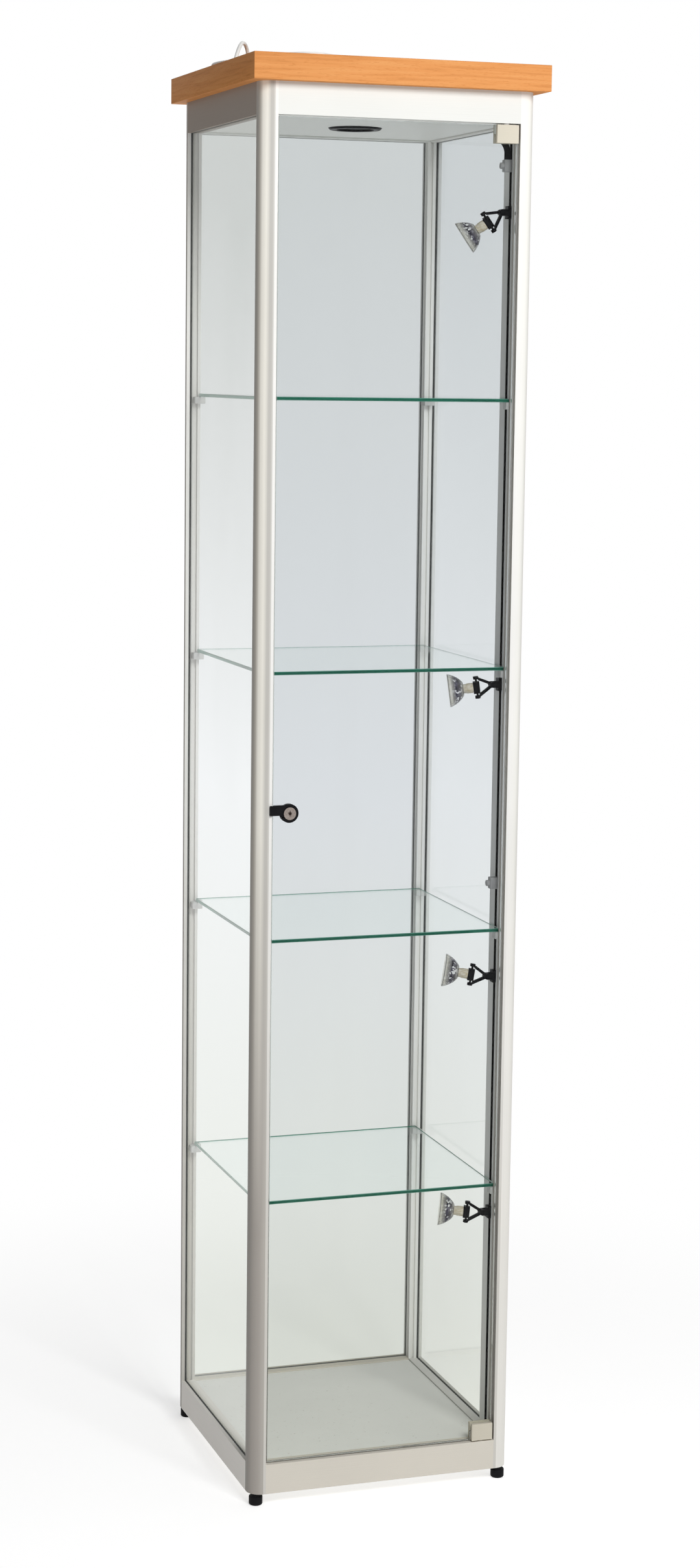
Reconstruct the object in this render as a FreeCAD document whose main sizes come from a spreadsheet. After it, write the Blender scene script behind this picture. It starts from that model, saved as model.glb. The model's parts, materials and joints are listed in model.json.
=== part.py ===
import FreeCAD, Part
import math
import os
import re

import Sketcher

# A tall square glass display cabinet: four extruded posts and eight rails hold three panes,
# a hinged glass door, four glass shelves and a row of spot lamps on a lighting track.
# Origin: floor level at the middle of the plan. X to the right, Y to the back, Z up. Millimetres.

SIZES = (
    # Frame
    ("frame_width", 400, "outer width across the posts"),
    ("frame_depth", 400, "outer depth across the posts"),
    ("frame_height", 1996, "length of the posts"),
    ("foot_height", 18, "floor to the lower end of the posts"),
    ("post_width", 24, "side of a post and depth of a rail"),
    ("post_corner_radius", 20, "outer rounding of a post"),
    ("rail_height", 44, "height of every rail"),
    ("rail_wall", 2, "wall of a rail"),
    ("groove_inset", 5, "outer face to the glass groove"),
    ("groove_width", 6, "width of the glass groove"),
    ("groove_depth", 8, "depth of the glass groove"),
    ("slot_inset", 15.5, "outer face to the clip slot"),
    ("slot_width", 4, "width of the clip slot"),
    ("slot_depth", 3.5, "depth of the clip slot"),
    # Panels
    ("ledge_width", 10, "how far a panel ledge stands in"),
    ("ledge_thickness", 2, "thickness of a panel ledge"),
    ("floor_ledge_height", 24, "rail underside to the floor ledge"),
    ("panel_gap", 0.5, "gap round the floor and ceiling panels"),
    ("floor_thickness", 16, "floor panel"),
    ("ceiling_thickness", 10, "ceiling panel"),
    ("board_thickness", 36, "top board"),
    ("board_overhang", 15, "top board past the posts"),
    # Glass
    ("glass_thickness", 4, "side and rear panes"),
    ("glass_edge_gap", 1, "gasket between a pane's edge and the groove floor"),
    ("shelf_thickness", 5, "shelves"),
    ("shelf_side_gap", 10, "side panes to a shelf's left and right edges"),
    ("shelf_end_gap", 4, "posts to a shelf's front and rear edges"),
    # Shelf clips
    ("clip_gap", 2, "side pane to a shelf clip"),
    ("clip_width", 16, "shelf clip across the slot"),
    ("clip_length", 14, "shelf clip under the shelf"),
    ("clip_height", 10, "shelf clip"),
    ("clip_clearance", 0.3, "clip tongue to the slot, each side"),
    # Feet
    ("foot_radius", 10, "foot pad"),
    ("foot_neck_radius", 7.5, "foot above the pad"),
    ("foot_pad_height", 13, "foot pad"),
    ("foot_edge", 1.5, "chamfer of the foot pad"),
    ("foot_inset", 12.5, "outer faces to the foot's middle"),
    ("stud_radius", 3, "threaded stud of a foot"),
    ("stud_length", 20, "stud inside the post"),
    ("fit_clearance", 0.05, "radial clearance of a pin or stud in its hole"),
    # Door
    ("door_thickness", 5, "door glass"),
    ("door_inset", 5.5, "front of the posts to the door glass"),
    ("door_side_gap", 2.7, "door glass to the posts"),
    ("door_end_gap", 2, "door glass and hinge caps to the rails"),
    ("hinge_cap_width", 32, "hinge cap"),
    ("hinge_cap_height", 25, "hinge cap"),
    ("hinge_plate", 6, "hinge cap in front of and behind the glass"),
    ("hinge_head", 12, "solid head of the hinge cap"),
    ("hinge_pin_radius", 3, "hinge pin"),
    ("hinge_pin_reach", 10, "hinge pin into the cap and into the rail"),
    ("hinge_collar_radius", 5.5, "collar of the hinge pin"),
    ("hinge_play", 0.3, "collar to the hinge cap, and glass to the cap"),
    # Lock
    ("lock_height", 1013, "floor to the middle of the lock"),
    ("lock_setback", 22, "door edge to the middle of the lock"),
    ("lock_radius", 13.3, "lock bezel"),
    ("lock_depth", 9, "lock bezel in front of the glass"),
    ("barrel_radius", 9.5, "lock barrel through the glass"),
    ("barrel_clearance", 0.3, "barrel to the hole in the glass"),
    ("barrel_tail", 4.7, "barrel behind the glass"),
    ("plug_radius", 6, "turning plug of the lock"),
    ("plug_face_radius", 9, "face of the plug"),
    ("plug_face_depth", 1.5, "face of the plug"),
    ("plug_tail_radius", 4, "plug behind the barrel"),
    ("keyway_width", 1.6, "keyway"),
    ("keyway_height", 8, "keyway"),
    ("nut_radius", 11, "nut behind the glass"),
    ("nut_thickness", 3.7, "nut behind the glass"),
    ("cam_thickness", 3, "cam behind the lock"),
    ("cam_width", 8, "cam"),
    ("cam_lap", 4, "cam behind the keeper when locked"),
    ("cam_gap", 0.6, "keeper to the cam"),
    ("keeper_seat", 11, "keeper on the rear of the post"),
    ("keeper_reach", 9, "keeper past the post"),
    ("keeper_thickness", 2.5, "keeper"),
    ("keeper_height", 14, "keeper"),
    ("tab_height", 14, "stop tab of the lock"),
    ("tab_rise", 4.2, "middle of the lock to the middle of the tab"),
    ("tab_lap", 4, "stop tab over the post"),
    ("tab_gap", 0.4, "stop tab to the front of the post"),
    # Lighting track
    ("track_depth", 32, "track, front to back"),
    ("track_width", 8, "track, left to right"),
    ("track_back", 16, "rear of the post to the track"),
    ("track_side_gap", 0.4, "track to the pane's groove"),
    ("track_slot_inset", 4, "front of the track to its slot"),
    ("track_slot_width", 6, "track slot"),
    ("track_slot_depth", 5, "track slot"),
    ("track_liner", 1.5, "black liner at the bottom of the slot"),
    ("tongue_clearance", 0.4, "lamp and clamp tongues to the track slot"),
    ("clamp_height", 17, "supply clamp on the track"),
    ("clamp_reach", 11, "supply clamp off the track"),
    ("clamp_depth", 11, "supply clamp, front to back"),
    ("clamp_screw_radius", 4.5, "screw head of the supply clamp"),
    ("clamp_screw_length", 5, "screw head of the supply clamp"),
    ("feed_clamp_drop", 46, "rail to the upper clamp"),
    ("mid_clamp_rise", 64.3, "third shelf to the middle clamp"),
    ("feed_radius", 4.5, "supply cable"),
    ("feed_offset", 12, "supply cable at the ceiling, left of the clamp"),
    ("feed_lead", 8, "straight ends of the supply cable"),
    # Spot lamps
    ("lamp_reach", 12.6, "track to the lamp's tilt pin"),
    ("lamp_base_depth", 5, "clip foot on the track"),
    ("lamp_base_height", 18, "clip foot on the track"),
    ("lamp_base_width", 12, "clip foot on the track"),
    ("ear_thickness", 2.7, "clip ears beside the yoke"),
    ("ear_radius", 4.5, "clip ears and the yoke's hub"),
    ("hub_width", 5.4, "yoke hub between the ears"),
    ("hub_play", 0.3, "yoke hub to each ear"),
    ("tilt_pin_radius", 1.5, "tilt pin"),
    ("bar_reach", 24, "tilt pin to the lamp holder"),
    ("arm_thickness", 4, "yoke arm, in its plane"),
    ("arm_inside", 1.25, "line from hub to eye to the inner face of the arm"),
    ("arm_width", 4, "yoke arm, across its plane"),
    ("eye_radius", 3.8, "yoke eye round the holder's pin"),
    ("eye_thickness", 2, "yoke eye"),
    ("eye_height", 12, "middle of the holder to the yoke eyes"),
    ("holder_radius", 4.5, "lamp holder bar"),
    ("holder_half", 8.5, "half the lamp holder bar"),
    ("holder_seat", 5, "middle of the holder to the bulb's seat"),
    ("holder_seat_width", 12, "seat of the bulb"),
    ("pan_pin_radius", 1.6, "pins at the ends of the holder"),
    ("knob_radius", 3.9, "knobs at the ends of the holder"),
    ("knob_height", 1.8, "knobs at the ends of the holder"),
    ("knob_play", 0.3, "knob to the yoke eye"),
    ("bulb_base_radius", 7.5, "ceramic base of a bulb"),
    ("bulb_base_length", 14, "ceramic base of a bulb"),
    ("bulb_neck_radius", 9.5, "reflector where it meets the base"),
    ("bulb_radius", 24, "rim of the reflector"),
    ("bulb_depth", 20, "reflector, base to rim"),
    ("bulb_rim", 2, "straight rim of the reflector"),
    ("bulb_wall", 2, "wall of the reflector"),
    ("bulb_swell", 38, "radius of the reflector's outline"),
    ("lamp_pan", 20, "degrees the bulbs look to the back"),
    ("lamp_1_drop", 119, "rail to lamp 1"),
    ("lamp_2_drop", 22, "shelf to lamp 2"),
    ("lamp_3_drop", 69, "shelf to lamp 3"),
    ("lamp_4_drop", 43, "shelf to lamp 4"),
    ("lamp_1_tilt", -36, "degrees above level, lamp 1"),
    ("lamp_2_tilt", -8.5, "degrees above level, lamp 2"),
    ("lamp_3_tilt", 9, "degrees above level, lamp 3"),
    ("lamp_4_tilt", 5.5, "degrees above level, lamp 4"),
    # Ceiling light and its supply
    ("trim_radius", 39, "trim ring of the ceiling light"),
    ("trim_bore", 27, "opening of the trim ring"),
    ("trim_height", 3, "trim ring below the ceiling"),
    ("can_radius", 31, "housing of the ceiling light"),
    ("can_height", 36, "housing above the ceiling's underside"),
    ("can_wall", 1.5, "housing of the ceiling light"),
    ("can_gap", 0.3, "housing to the hole in the ceiling"),
    ("downlight_bulb_radius", 25, "bulb of the ceiling light"),
    ("downlight_bulb_height", 22, "bulb of the ceiling light"),
    ("transformer_length", 120, "transformer above the ceiling"),
    ("transformer_width", 60, "transformer above the ceiling"),
    ("transformer_height", 24, "transformer above the ceiling"),
    ("transformer_setback", 45.5, "rear edge of the ceiling to the transformer"),
    # Mains lead on top of the board
    ("lead_radius", 2.75, "mains lead"),
    ("lead_lift", 0.3, "mains lead above the board"),
    ("relief_depth", 16, "strain relief inside the board"),
    ("relief_radius", 7, "strain relief at its lower end"),
    ("relief_tip_radius", 3.6, "strain relief at the lead"),
    ("relief_flange_radius", 11, "flange of the strain relief"),
    ("relief_flange", 1.6, "flange of the strain relief"),
    ("relief_gap", 0.3, "strain relief to the hole in the board"),
    ("coil_step", 6.1, "from one turn of the coil to the next, sideways and up"),
    ("coil_outer_radius", 41, "outermost turn of the coil"),
    ("coil_tail", 30, "straight end of the coil, to the plug"),
    ("tie_width", 8, "tie round the coil"),
    ("tie_thickness", 0.9, "tie round the coil"),
    ("tie_gap", 0.3, "tie to the coil"),
    ("sleeve_length", 22, "tapered sleeve of the mains plug"),
    ("sleeve_radius", 5, "tapered sleeve at the plug"),
    ("sleeve_tip_radius", 3.6, "tapered sleeve at the lead"),
    ("mains_plug_length", 34, "mains plug"),
    ("mains_plug_width", 28, "mains plug"),
    ("prong_radius", 2.4, "pins of the mains plug"),
    ("prong_length", 19, "pins of the mains plug"),
    ("prong_spacing", 19, "from pin to pin of the mains plug"),
)

SHELF_COUNT = 4
COIL_TURNS_PER_LAYER = 3

# The mains lead's free stretch: X, Y and the height above where it lies flat on the board.
LEAD_ROUTE = (
    (-111, 164, 7), (-111, 164, 27), (-118.5, 152, 44), (-130, 134, 47), (-141, 117, 33.5),
    (-150, 103, 13.5), (-165, 84, 1), (-189, 61, 0), (-206, 27, 0), (-207, -10, 0), (-194, -46, 0),
    (-178, -82, 0), (-170, -122, 0), (-157, -160, 0), (-128, -186, 0), (-91, -172, 0), (-73, -137, 0),
    (-57, -93, 0), (-41, -49, 1.1), (-41, -8, 1.1),
)
LEAD_EXIT = LEAD_ROUTE[0][:2]

# Lengths worked out from the sizes above.
DERIVED = {
    "half_width": "frame_width / 2",
    "half_depth": "frame_depth / 2",
    "opening_width": "frame_width - 2 * post_width",
    "opening_depth": "frame_depth - 2 * post_width",
    "base_top": "foot_height + rail_height",
    "frame_top": "foot_height + frame_height",
    "head_bottom": "frame_top - rail_height",
    "inner_height": "head_bottom - base_top",
    "floor_bottom": "foot_height + floor_ledge_height + ledge_thickness",
    "ceiling_bottom": "head_bottom + ledge_thickness",
    "ceiling_top": "ceiling_bottom + ceiling_thickness",
    "board_top": "frame_top + board_thickness",
    "groove_floor": "post_width - groove_depth",
    "pane_inset": "groove_inset + (groove_width - glass_thickness) / 2",
    "pane_bottom": "base_top - groove_depth + glass_edge_gap",
    "pane_height": "inner_height + 2 * groove_depth - 2 * glass_edge_gap",
    "slot_middle": "slot_inset + slot_width / 2",
    "shelf_width": "frame_width - 2 * (pane_inset + glass_thickness + shelf_side_gap)",
    "shelf_depth": "opening_depth - 2 * shelf_end_gap",
    "door_width": "opening_width - 2 * door_side_gap",
    "door_left": "-half_width + post_width + door_side_gap",
    "door_right": "half_width - post_width - door_side_gap",
    "door_bottom": "base_top + door_end_gap",
    "door_height": "inner_height - 2 * door_end_gap",
    "door_front": "-half_depth + door_inset",
    "door_back": "door_front + door_thickness",
    "door_middle": "door_front + door_thickness / 2",
    "hinge_x": "door_right - hinge_cap_width / 2",
    "hinge_thickness": "door_thickness + 2 * hinge_plate",
    "lock_x": "door_left + lock_setback",
    "lock_front": "door_front - lock_depth",
    "keeper_edge": "-half_width + post_width + keeper_reach",
    "cam_front": "-half_depth + post_width + keeper_thickness + cam_gap",
    "cam_length": "lock_x - (keeper_edge) + cam_lap",
    "track_right": "half_width - groove_inset - groove_width - track_side_gap",
    "track_face": "track_right - track_width",
    "track_front": "-half_depth + post_width + track_back",
    "track_slot_middle": "track_front + track_slot_inset + track_slot_width / 2",
    "tongue_length": "track_slot_depth - track_liner - tongue_clearance",
    "tongue_width": "track_slot_width - 2 * tongue_clearance",
    "feed_clamp_top": "head_bottom - feed_clamp_drop",
    "feed_x": "track_face - clamp_reach / 2",
    "ear_inside": "hub_width / 2 + hub_play",
    "ear_outside": "ear_inside + ear_thickness",
    "eye_middle": "eye_height + eye_thickness / 2",
    "knob_bottom": "eye_height + eye_thickness + knob_play",
    "bulb_base_end": "holder_seat + bulb_base_length",
    "bulb_rim_start": "bulb_base_end + bulb_depth",
    "bulb_front": "bulb_rim_start + bulb_rim",
    "lead_z": "board_top + lead_lift + lead_radius",
}

doc = FreeCAD.newDocument("display_cabinet")
sheet = doc.addObject("Spreadsheet::Sheet", "dims")
for row, (alias, value, meaning) in enumerate(SIZES, start=1):
    sheet.set(f"A{row}", alias)
    sheet.set(f"B{row}", str(value))
    sheet.set(f"C{row}", meaning)
    sheet.setAlias(f"B{row}", alias)
doc.recompute()

ALIASES = {alias for alias, _, _ in SIZES}
X_AXIS = FreeCAD.Vector(1, 0, 0)
Y_AXIS = FreeCAD.Vector(0, 1, 0)
Z_AXIS = FreeCAD.Vector(0, 0, 1)
FLAT_SIDES = {}
nodes = []


# Expressions and placing

def scoped(text):
    """The expression with every size named by its cell, and every derived length written out."""

    def swap(match):
        word = match.group()
        if word in DERIVED:
            return f"({scoped(DERIVED[word])})"
        return f"dims.{word}" if word in ALIASES else word

    return re.sub(r"[A-Za-z_]\w*", swap, str(text))


def number(text):
    return float(sheet.evalExpression(scoped(text)))


def vector(x, y, z):
    return FreeCAD.Vector(number(x), number(y), number(z))


def bind(obj, prop, text):
    obj.setExpression(prop, scoped(text))


def place(obj, at, turn=None):
    obj.Placement = FreeCAD.Placement(FreeCAD.Vector(), turn or FreeCAD.Rotation())
    for axis, text in zip("xyz", at):
        bind(obj, f"Placement.Base.{axis}", text)
    return obj


def node(obj, label):
    obj.Label = label
    nodes.append(obj)
    return obj


# Solids

def box(name, size, at, turn=None):
    obj = doc.addObject("Part::Box", name)
    for prop, text in zip(("Length", "Width", "Height"), size):
        bind(obj, prop, text)
    return place(obj, at, turn)


def middle_box(name, size, at):
    """A box with its middle at a point."""
    return box(name, size, [f"{a} - ({s}) / 2" for a, s in zip(at, size)])


def rod(name, radius, length, at, along=Z_AXIS):
    obj = doc.addObject("Part::Cylinder", name)
    bind(obj, "Radius", radius)
    bind(obj, "Height", length)
    return place(obj, at, FreeCAD.Rotation(Z_AXIS, along))


def cone(name, radii, length, at, along):
    obj = doc.addObject("Part::Cone", name)
    bind(obj, "Radius1", radii[0])
    bind(obj, "Radius2", radii[1])
    bind(obj, "Height", length)
    return place(obj, at, FreeCAD.Rotation(Z_AXIS, along))


def fuse(name, shapes):
    obj = doc.addObject("Part::MultiFuse", name)
    obj.Shapes = shapes
    obj.Refine = True
    return obj


def cut(name, base, *tools):
    obj = doc.addObject("Part::Cut", name)
    obj.Base = base
    obj.Tool = tools[0] if len(tools) == 1 else fuse(f"{name}_tools", list(tools))
    return obj


def group(name, shapes):
    obj = doc.addObject("Part::Compound", name)
    obj.Links = shapes
    return obj


def outline(body, name, role, loops, swells=FLAT_SIDES):
    """A sketch on one of the body's origin planes: closed loops of corners, each corner bound to
    its two expressions. A side listed in swells is an arc of that radius instead of a line,
    on the left (1) or the right (-1) of its direction."""
    sketch = body.newObject("Sketcher::SketchObject", name)
    plane = next(f for f in body.Origin.OriginFeatures if f.Role == role)
    sketch.AttachmentSupport = (plane, [""])
    sketch.MapMode = "FlatFace"
    first = 0
    for loop in loops:
        corners = [vector(x, y, 0) for x, y in loop]
        count = len(corners)
        starts = []
        for i, start in enumerate(corners):
            end = corners[(i + 1) % count]
            if i in swells:
                radius, way = swells[i]
                sketch.addGeometry(Part.Arc(start, bulge(start, end, number(radius), way), end))
            else:
                sketch.addGeometry(Part.LineSegment(start, end))
            near = sketch.getPoint(first + i, 1)
            starts.append(1 if near.distanceToPoint(start) < near.distanceToPoint(end) else 2)
        for i in range(count):
            following = (i + 1) % count
            sketch.addConstraint(Sketcher.Constraint(
                "Coincident", first + i, 3 - starts[i], first + following, starts[following]))
        for i, corner in enumerate(loop):
            for kind, text in zip(("DistanceX", "DistanceY"), corner):
                index = sketch.addConstraint(Sketcher.Constraint(
                    kind, -1, 1, first + i, starts[i], number(text)))
                label = f"{kind[-1].lower()}{first + i}"
                sketch.renameConstraint(index, label)
                bind(sketch, f"Constraints.{label}", text)
            if i in swells:
                radius, _ = swells[i]
                index = sketch.addConstraint(Sketcher.Constraint("Radius", first + i, number(radius)))
                sketch.renameConstraint(index, f"swell{first + i}")
                bind(sketch, f"Constraints.swell{first + i}", radius)
        first += count
    return sketch


def bulge(start, end, radius, way):
    """The middle of the arc from start to end that swells to the left (1) or right (-1)."""
    chord = end - start
    left = FreeCAD.Vector(-chord.y, chord.x, 0).normalize()
    half = chord.Length / 2
    rise = radius - math.sqrt(radius * radius - half * half)
    return (start + end) * 0.5 + left * (way * rise)


def padded(name, role, loops, length):
    body = doc.addObject("PartDesign::Body", name)
    sketch = outline(body, f"{name}_outline", role, loops)
    pad = body.newObject("PartDesign::Pad", f"{name}_pad")
    pad.Profile = sketch
    bind(pad, "Length", length)
    return body, pad


def turned(name, profile, swells=FLAT_SIDES):
    """A body turned about its Z axis from corners given as radius and height."""
    body = doc.addObject("PartDesign::Body", name)
    sketch = outline(body, f"{name}_profile", "XZ_Plane", [profile], swells)
    revolution = body.newObject("PartDesign::Revolution", f"{name}_turned")
    revolution.Profile = sketch
    revolution.ReferenceAxis = (sketch, ["V_Axis"])
    revolution.Angle = 360
    return body


def negated(text):
    return f"-({text})"


# Posts: one outline, handed to each corner by its two signs

def make_post(label, side_x, side_y):
    flip_x = negated if side_x > 0 else str
    flip_y = negated if side_y > 0 else str
    lip_end = "groove_inset + groove_width"
    slot_end = "slot_inset + slot_width"
    slot_floor = "post_width - slot_depth"
    half = [
        ("post_width", "0"), ("post_width", "groove_inset"),
        ("groove_floor", "groove_inset"), ("groove_floor", lip_end), ("post_width", lip_end),
        ("post_width", "slot_inset"), (slot_floor, "slot_inset"), (slot_floor, slot_end),
        ("post_width", slot_end),
    ]
    corners = [("0", "0"), *half, ("post_width", "post_width"), *[(y, x) for x, y in reversed(half)]]
    corners = [(flip_x(x), flip_y(y)) for x, y in corners]
    body, pad = padded(f"{label}_profile", "XY_Plane", [corners], "frame_height")
    doc.recompute()
    rounding = body.newObject("PartDesign::Fillet", f"{label}_rounding")
    edge = next(
        i for i, e in enumerate(pad.Shape.Edges, start=1)
        if all(math.hypot(v.X, v.Y) < 1e-6 for v in e.Vertexes))
    rounding.Base = (pad, [f"Edge{edge}"])
    bind(rounding, "Radius", "post_corner_radius")
    at = (f"{side_x} * half_width", f"{side_y} * half_depth", "foot_height")
    place(body, at)
    stud_hole = rod(
        f"{label}_stud_hole", "stud_radius + fit_clearance", "stud_length",
        (f"{side_x} * (half_width - foot_inset)", f"{side_y} * (half_depth - foot_inset)", "foot_height"))
    node(cut(f"{label}_drilled", body, stud_hole), label)


CORNERS = {
    "front_left": (-1, -1), "front_right": (1, -1),
    "rear_left": (-1, 1), "rear_right": (1, 1),
}
for corner_name, signs in CORNERS.items():
    make_post(f"post_{corner_name}", *signs)


# Rails: an outline of inward distance and height, run along one side of the cabinet

SIDES = {
    "front": (0, "opening_width"), "right": (90, "opening_depth"),
    "rear": (180, "opening_width"), "left": (270, "opening_depth"),
}


def on_side(side, along, inward):
    """X and Y of a point that lies along a side, seen from inside, and inward from its face."""
    return {
        "front": (along, f"-half_depth + {inward}"),
        "right": (f"half_width - ({inward})", along),
        "rear": (negated(along), f"half_depth - ({inward})"),
        "left": (f"-half_width + {inward}", negated(along)),
    }[side]


def rail_outline(at_top, with_groove, with_ledge):
    groove_end = "groove_inset + groove_width"
    ledge_end = "post_width + ledge_width"
    mouth = "0" if at_top else "rail_height"
    floor = "groove_depth" if at_top else "rail_height - groove_depth"
    groove = [("groove_inset", mouth), ("groove_inset", floor), (groove_end, floor), (groove_end, mouth)]
    low = "0" if at_top else "floor_ledge_height"
    high = f"{low} + ledge_thickness"
    ledge = [("post_width", low), (ledge_end, low), (ledge_end, high), ("post_width", high)]
    outer = [("0", "0")]
    outer += groove if at_top and with_groove else []
    outer += [("post_width", "0")] if not (at_top and with_ledge) else []
    outer += ledge[1 if at_top else 0:] if with_ledge else []
    outer += [("post_width", "rail_height")]
    outer += groove[::-1] if not at_top and with_groove else []
    outer += [("0", "rail_height")]
    spare = "groove_depth" if with_groove else "0"
    low_wall = f"rail_wall + {spare}" if at_top else "rail_wall"
    high_wall = "rail_height - rail_wall" if at_top else f"rail_height - rail_wall - {spare}"
    inside = "post_width - rail_wall"
    core = [("rail_wall", low_wall), (inside, low_wall), (inside, high_wall), ("rail_wall", high_wall)]
    return [outer, core]


def make_rail(label, side, at_top):
    angle, length = SIDES[side]
    with_ledge = side in ("front", "rear")
    body, _ = padded(f"{label}_profile" if side == "front" else label, "YZ_Plane",
                     rail_outline(at_top, side != "front", with_ledge), length)
    bottom = "head_bottom" if at_top else "foot_height"
    place(body, (*on_side(side, f"-({length}) / 2", "0"), bottom), FreeCAD.Rotation(Z_AXIS, angle))
    if side != "front":
        return node(body, label)
    wall = "head_bottom" if at_top else "base_top - rail_wall"
    hole = rod(f"{label}_pin_hole", "hinge_pin_radius + fit_clearance", "rail_wall",
               ("hinge_x", "door_middle", wall))
    return node(cut(f"{label}_drilled", body, hole), label)


for rail_side in SIDES:
    make_rail(f"base_rail_{rail_side}", rail_side, False)
    make_rail(f"top_rail_{rail_side}", rail_side, True)


# Panes in their grooves, each edged by one U-shaped gasket

def make_pane(side):
    angle, opening = SIDES[side]
    turn = FreeCAD.Rotation(Z_AXIS, angle)
    length = f"({opening}) + 2 * groove_depth - 2 * glass_edge_gap"
    groove_length = f"({opening}) + 2 * groove_depth"
    groove_bottom = "base_top - groove_depth"

    def sheet_box(name, size, inward, bottom):
        return box(name, size, (*on_side(side, f"-({size[0]}) / 2", inward), bottom), turn)

    pane_size = (length, "glass_thickness", "pane_height")
    node(sheet_box(f"glass_{side}", pane_size, "pane_inset", "pane_bottom"), f"glass_{side}")
    filled = sheet_box(f"gasket_{side}_filled",
                       (groove_length, "groove_width", "inner_height + 2 * groove_depth"),
                       "groove_inset", groove_bottom)
    window = sheet_box(f"gasket_{side}_window", (opening, "groove_width", "inner_height"),
                       "groove_inset", "base_top")
    seat = sheet_box(f"gasket_{side}_seat", pane_size, "pane_inset", "pane_bottom")
    return cut(f"gasket_{side}", filled, window, seat)


gaskets = [make_pane(side) for side in ("left", "rear", "right")]
node(group("all_gaskets", gaskets), "glass_gaskets")


# Floor, ceiling and top board

panel = ("opening_width - 2 * panel_gap", "opening_depth - 2 * panel_gap")
node(middle_box("floor_board", (*panel, "floor_thickness"), ("0", "0", "floor_bottom + floor_thickness / 2")),
     "floor_panel")
ceiling_board = middle_box(
    "ceiling_board", (*panel, "ceiling_thickness"), ("0", "0", "ceiling_bottom + ceiling_thickness / 2"))
ceiling_hole = rod("ceiling_hole", "can_radius + can_gap", "ceiling_thickness", ("0", "0", "ceiling_bottom"))
node(cut("ceiling_bored", ceiling_board, ceiling_hole), "ceiling_panel")
board_size = ("frame_width + 2 * board_overhang", "frame_depth + 2 * board_overhang", "board_thickness")
board = middle_box("board", board_size, ("0", "0", "frame_top + board_thickness / 2"))
lead_hole = rod("lead_hole", "relief_radius + relief_gap", "relief_depth + relief_gap",
                (*map(str, LEAD_EXIT), "board_top - relief_depth - relief_gap"))
node(cut("board_bored", board, lead_hole), "top_board")


# Shelves, numbered from the top, and the clips that carry them in the posts' slots

def shelf_bottom(number_from_top):
    bay = SHELF_COUNT + 1 - number_from_top
    return f"base_top + inner_height * {bay} / {SHELF_COUNT + 1} - shelf_thickness / 2"


def make_shelf_clip(index, side_x, side_y):
    name = f"shelf_clip_{index}_{'left' if side_x < 0 else 'right'}_{'front' if side_y < 0 else 'rear'}"
    slot_x = f"{side_x} * (half_width - slot_middle)"
    head_x = f"{side_x} * (half_width - pane_inset - glass_thickness - clip_gap - clip_width / 2)"
    face = "half_depth - post_width"
    middle_z = f"{shelf_bottom(index)} - clip_height / 2"
    head = middle_box(f"{name}_head", ("clip_width", "clip_length", "clip_height"),
                      (head_x, f"{side_y} * ({face} - clip_length / 2)", middle_z))
    reach = "slot_depth - clip_clearance"
    tongue = middle_box(f"{name}_tongue", ("slot_width - 2 * clip_clearance", reach, "clip_height"),
                        (slot_x, f"{side_y} * ({face} + ({reach}) / 2)", middle_z))
    return fuse(name, [head, tongue])


shelf_clips = []
for shelf in range(1, SHELF_COUNT + 1):
    size = ("shelf_width", "shelf_depth", "shelf_thickness")
    bottom = shelf_bottom(shelf)
    node(middle_box(f"shelf_glass_{shelf}", size, ("0", "0", f"{bottom} + shelf_thickness / 2")),
         f"shelf_{shelf}")
    shelf_clips += [make_shelf_clip(shelf, *signs) for signs in CORNERS.values()]
node(group("all_shelf_clips", shelf_clips), "shelf_clips")


# Feet with their threaded studs

def make_foot(name, side_x, side_y):
    profile = [
        ("0", "0"), ("foot_radius - foot_edge", "0"), ("foot_radius", "foot_edge"),
        ("foot_radius", "foot_pad_height"), ("foot_neck_radius", "foot_pad_height"),
        ("foot_neck_radius", "foot_height"), ("stud_radius", "foot_height"),
        ("stud_radius", "foot_height + stud_length - foot_edge"),
        ("0", "foot_height + stud_length - foot_edge"),
    ]
    foot = turned(name, profile)
    at = (f"{side_x} * (half_width - foot_inset)", f"{side_y} * (half_depth - foot_inset)", "0")
    return place(foot, at)


node(group("all_feet", [make_foot(f"foot_{name}", *signs) for name, signs in CORNERS.items()]), "feet")


# Door: glass notched for two hinge caps that turn on pins in the rails, and bored for the lock

def hinge_end(at_top):
    """The level of the cap's outer end and the way inward from it."""
    return ("door_bottom + door_height", -1) if at_top else ("door_bottom", 1)


def make_hinge_cap(name, at_top):
    outer, way = hinge_end(at_top)
    block = middle_box(f"{name}_block", ("hinge_cap_width", "hinge_thickness", "hinge_cap_height"),
                       ("hinge_x", "door_middle", f"{outer} + {way} * hinge_cap_height / 2"))
    fork = "hinge_cap_height - hinge_head"
    slot = middle_box(f"{name}_fork", ("hinge_cap_width", "door_thickness", fork),
                      ("hinge_x", "door_middle", f"{outer} + {way} * (hinge_cap_height + hinge_head) / 2"))
    depth = "hinge_pin_reach + hinge_play"
    start = outer if way > 0 else f"{outer} - ({depth})"
    bore = rod(f"{name}_bore", "hinge_pin_radius + fit_clearance", depth, ("hinge_x", "door_middle", start))
    return cut(name, block, slot, bore)


def make_hinge_pin(name, at_top):
    collar = "door_end_gap - hinge_play"
    profile = [
        ("0", "-hinge_pin_reach"), ("hinge_pin_radius", "-hinge_pin_reach"), ("hinge_pin_radius", "0"),
        ("hinge_collar_radius", "0"), ("hinge_collar_radius", collar), ("hinge_pin_radius", collar),
        ("hinge_pin_radius", "door_end_gap + hinge_pin_reach"), ("0", "door_end_gap + hinge_pin_reach"),
    ]
    pin = turned(name, profile)
    seat = "head_bottom" if at_top else "base_top"
    return place(pin, ("hinge_x", "door_middle", seat), FreeCAD.Rotation(X_AXIS, 180 if at_top else 0))


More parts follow.
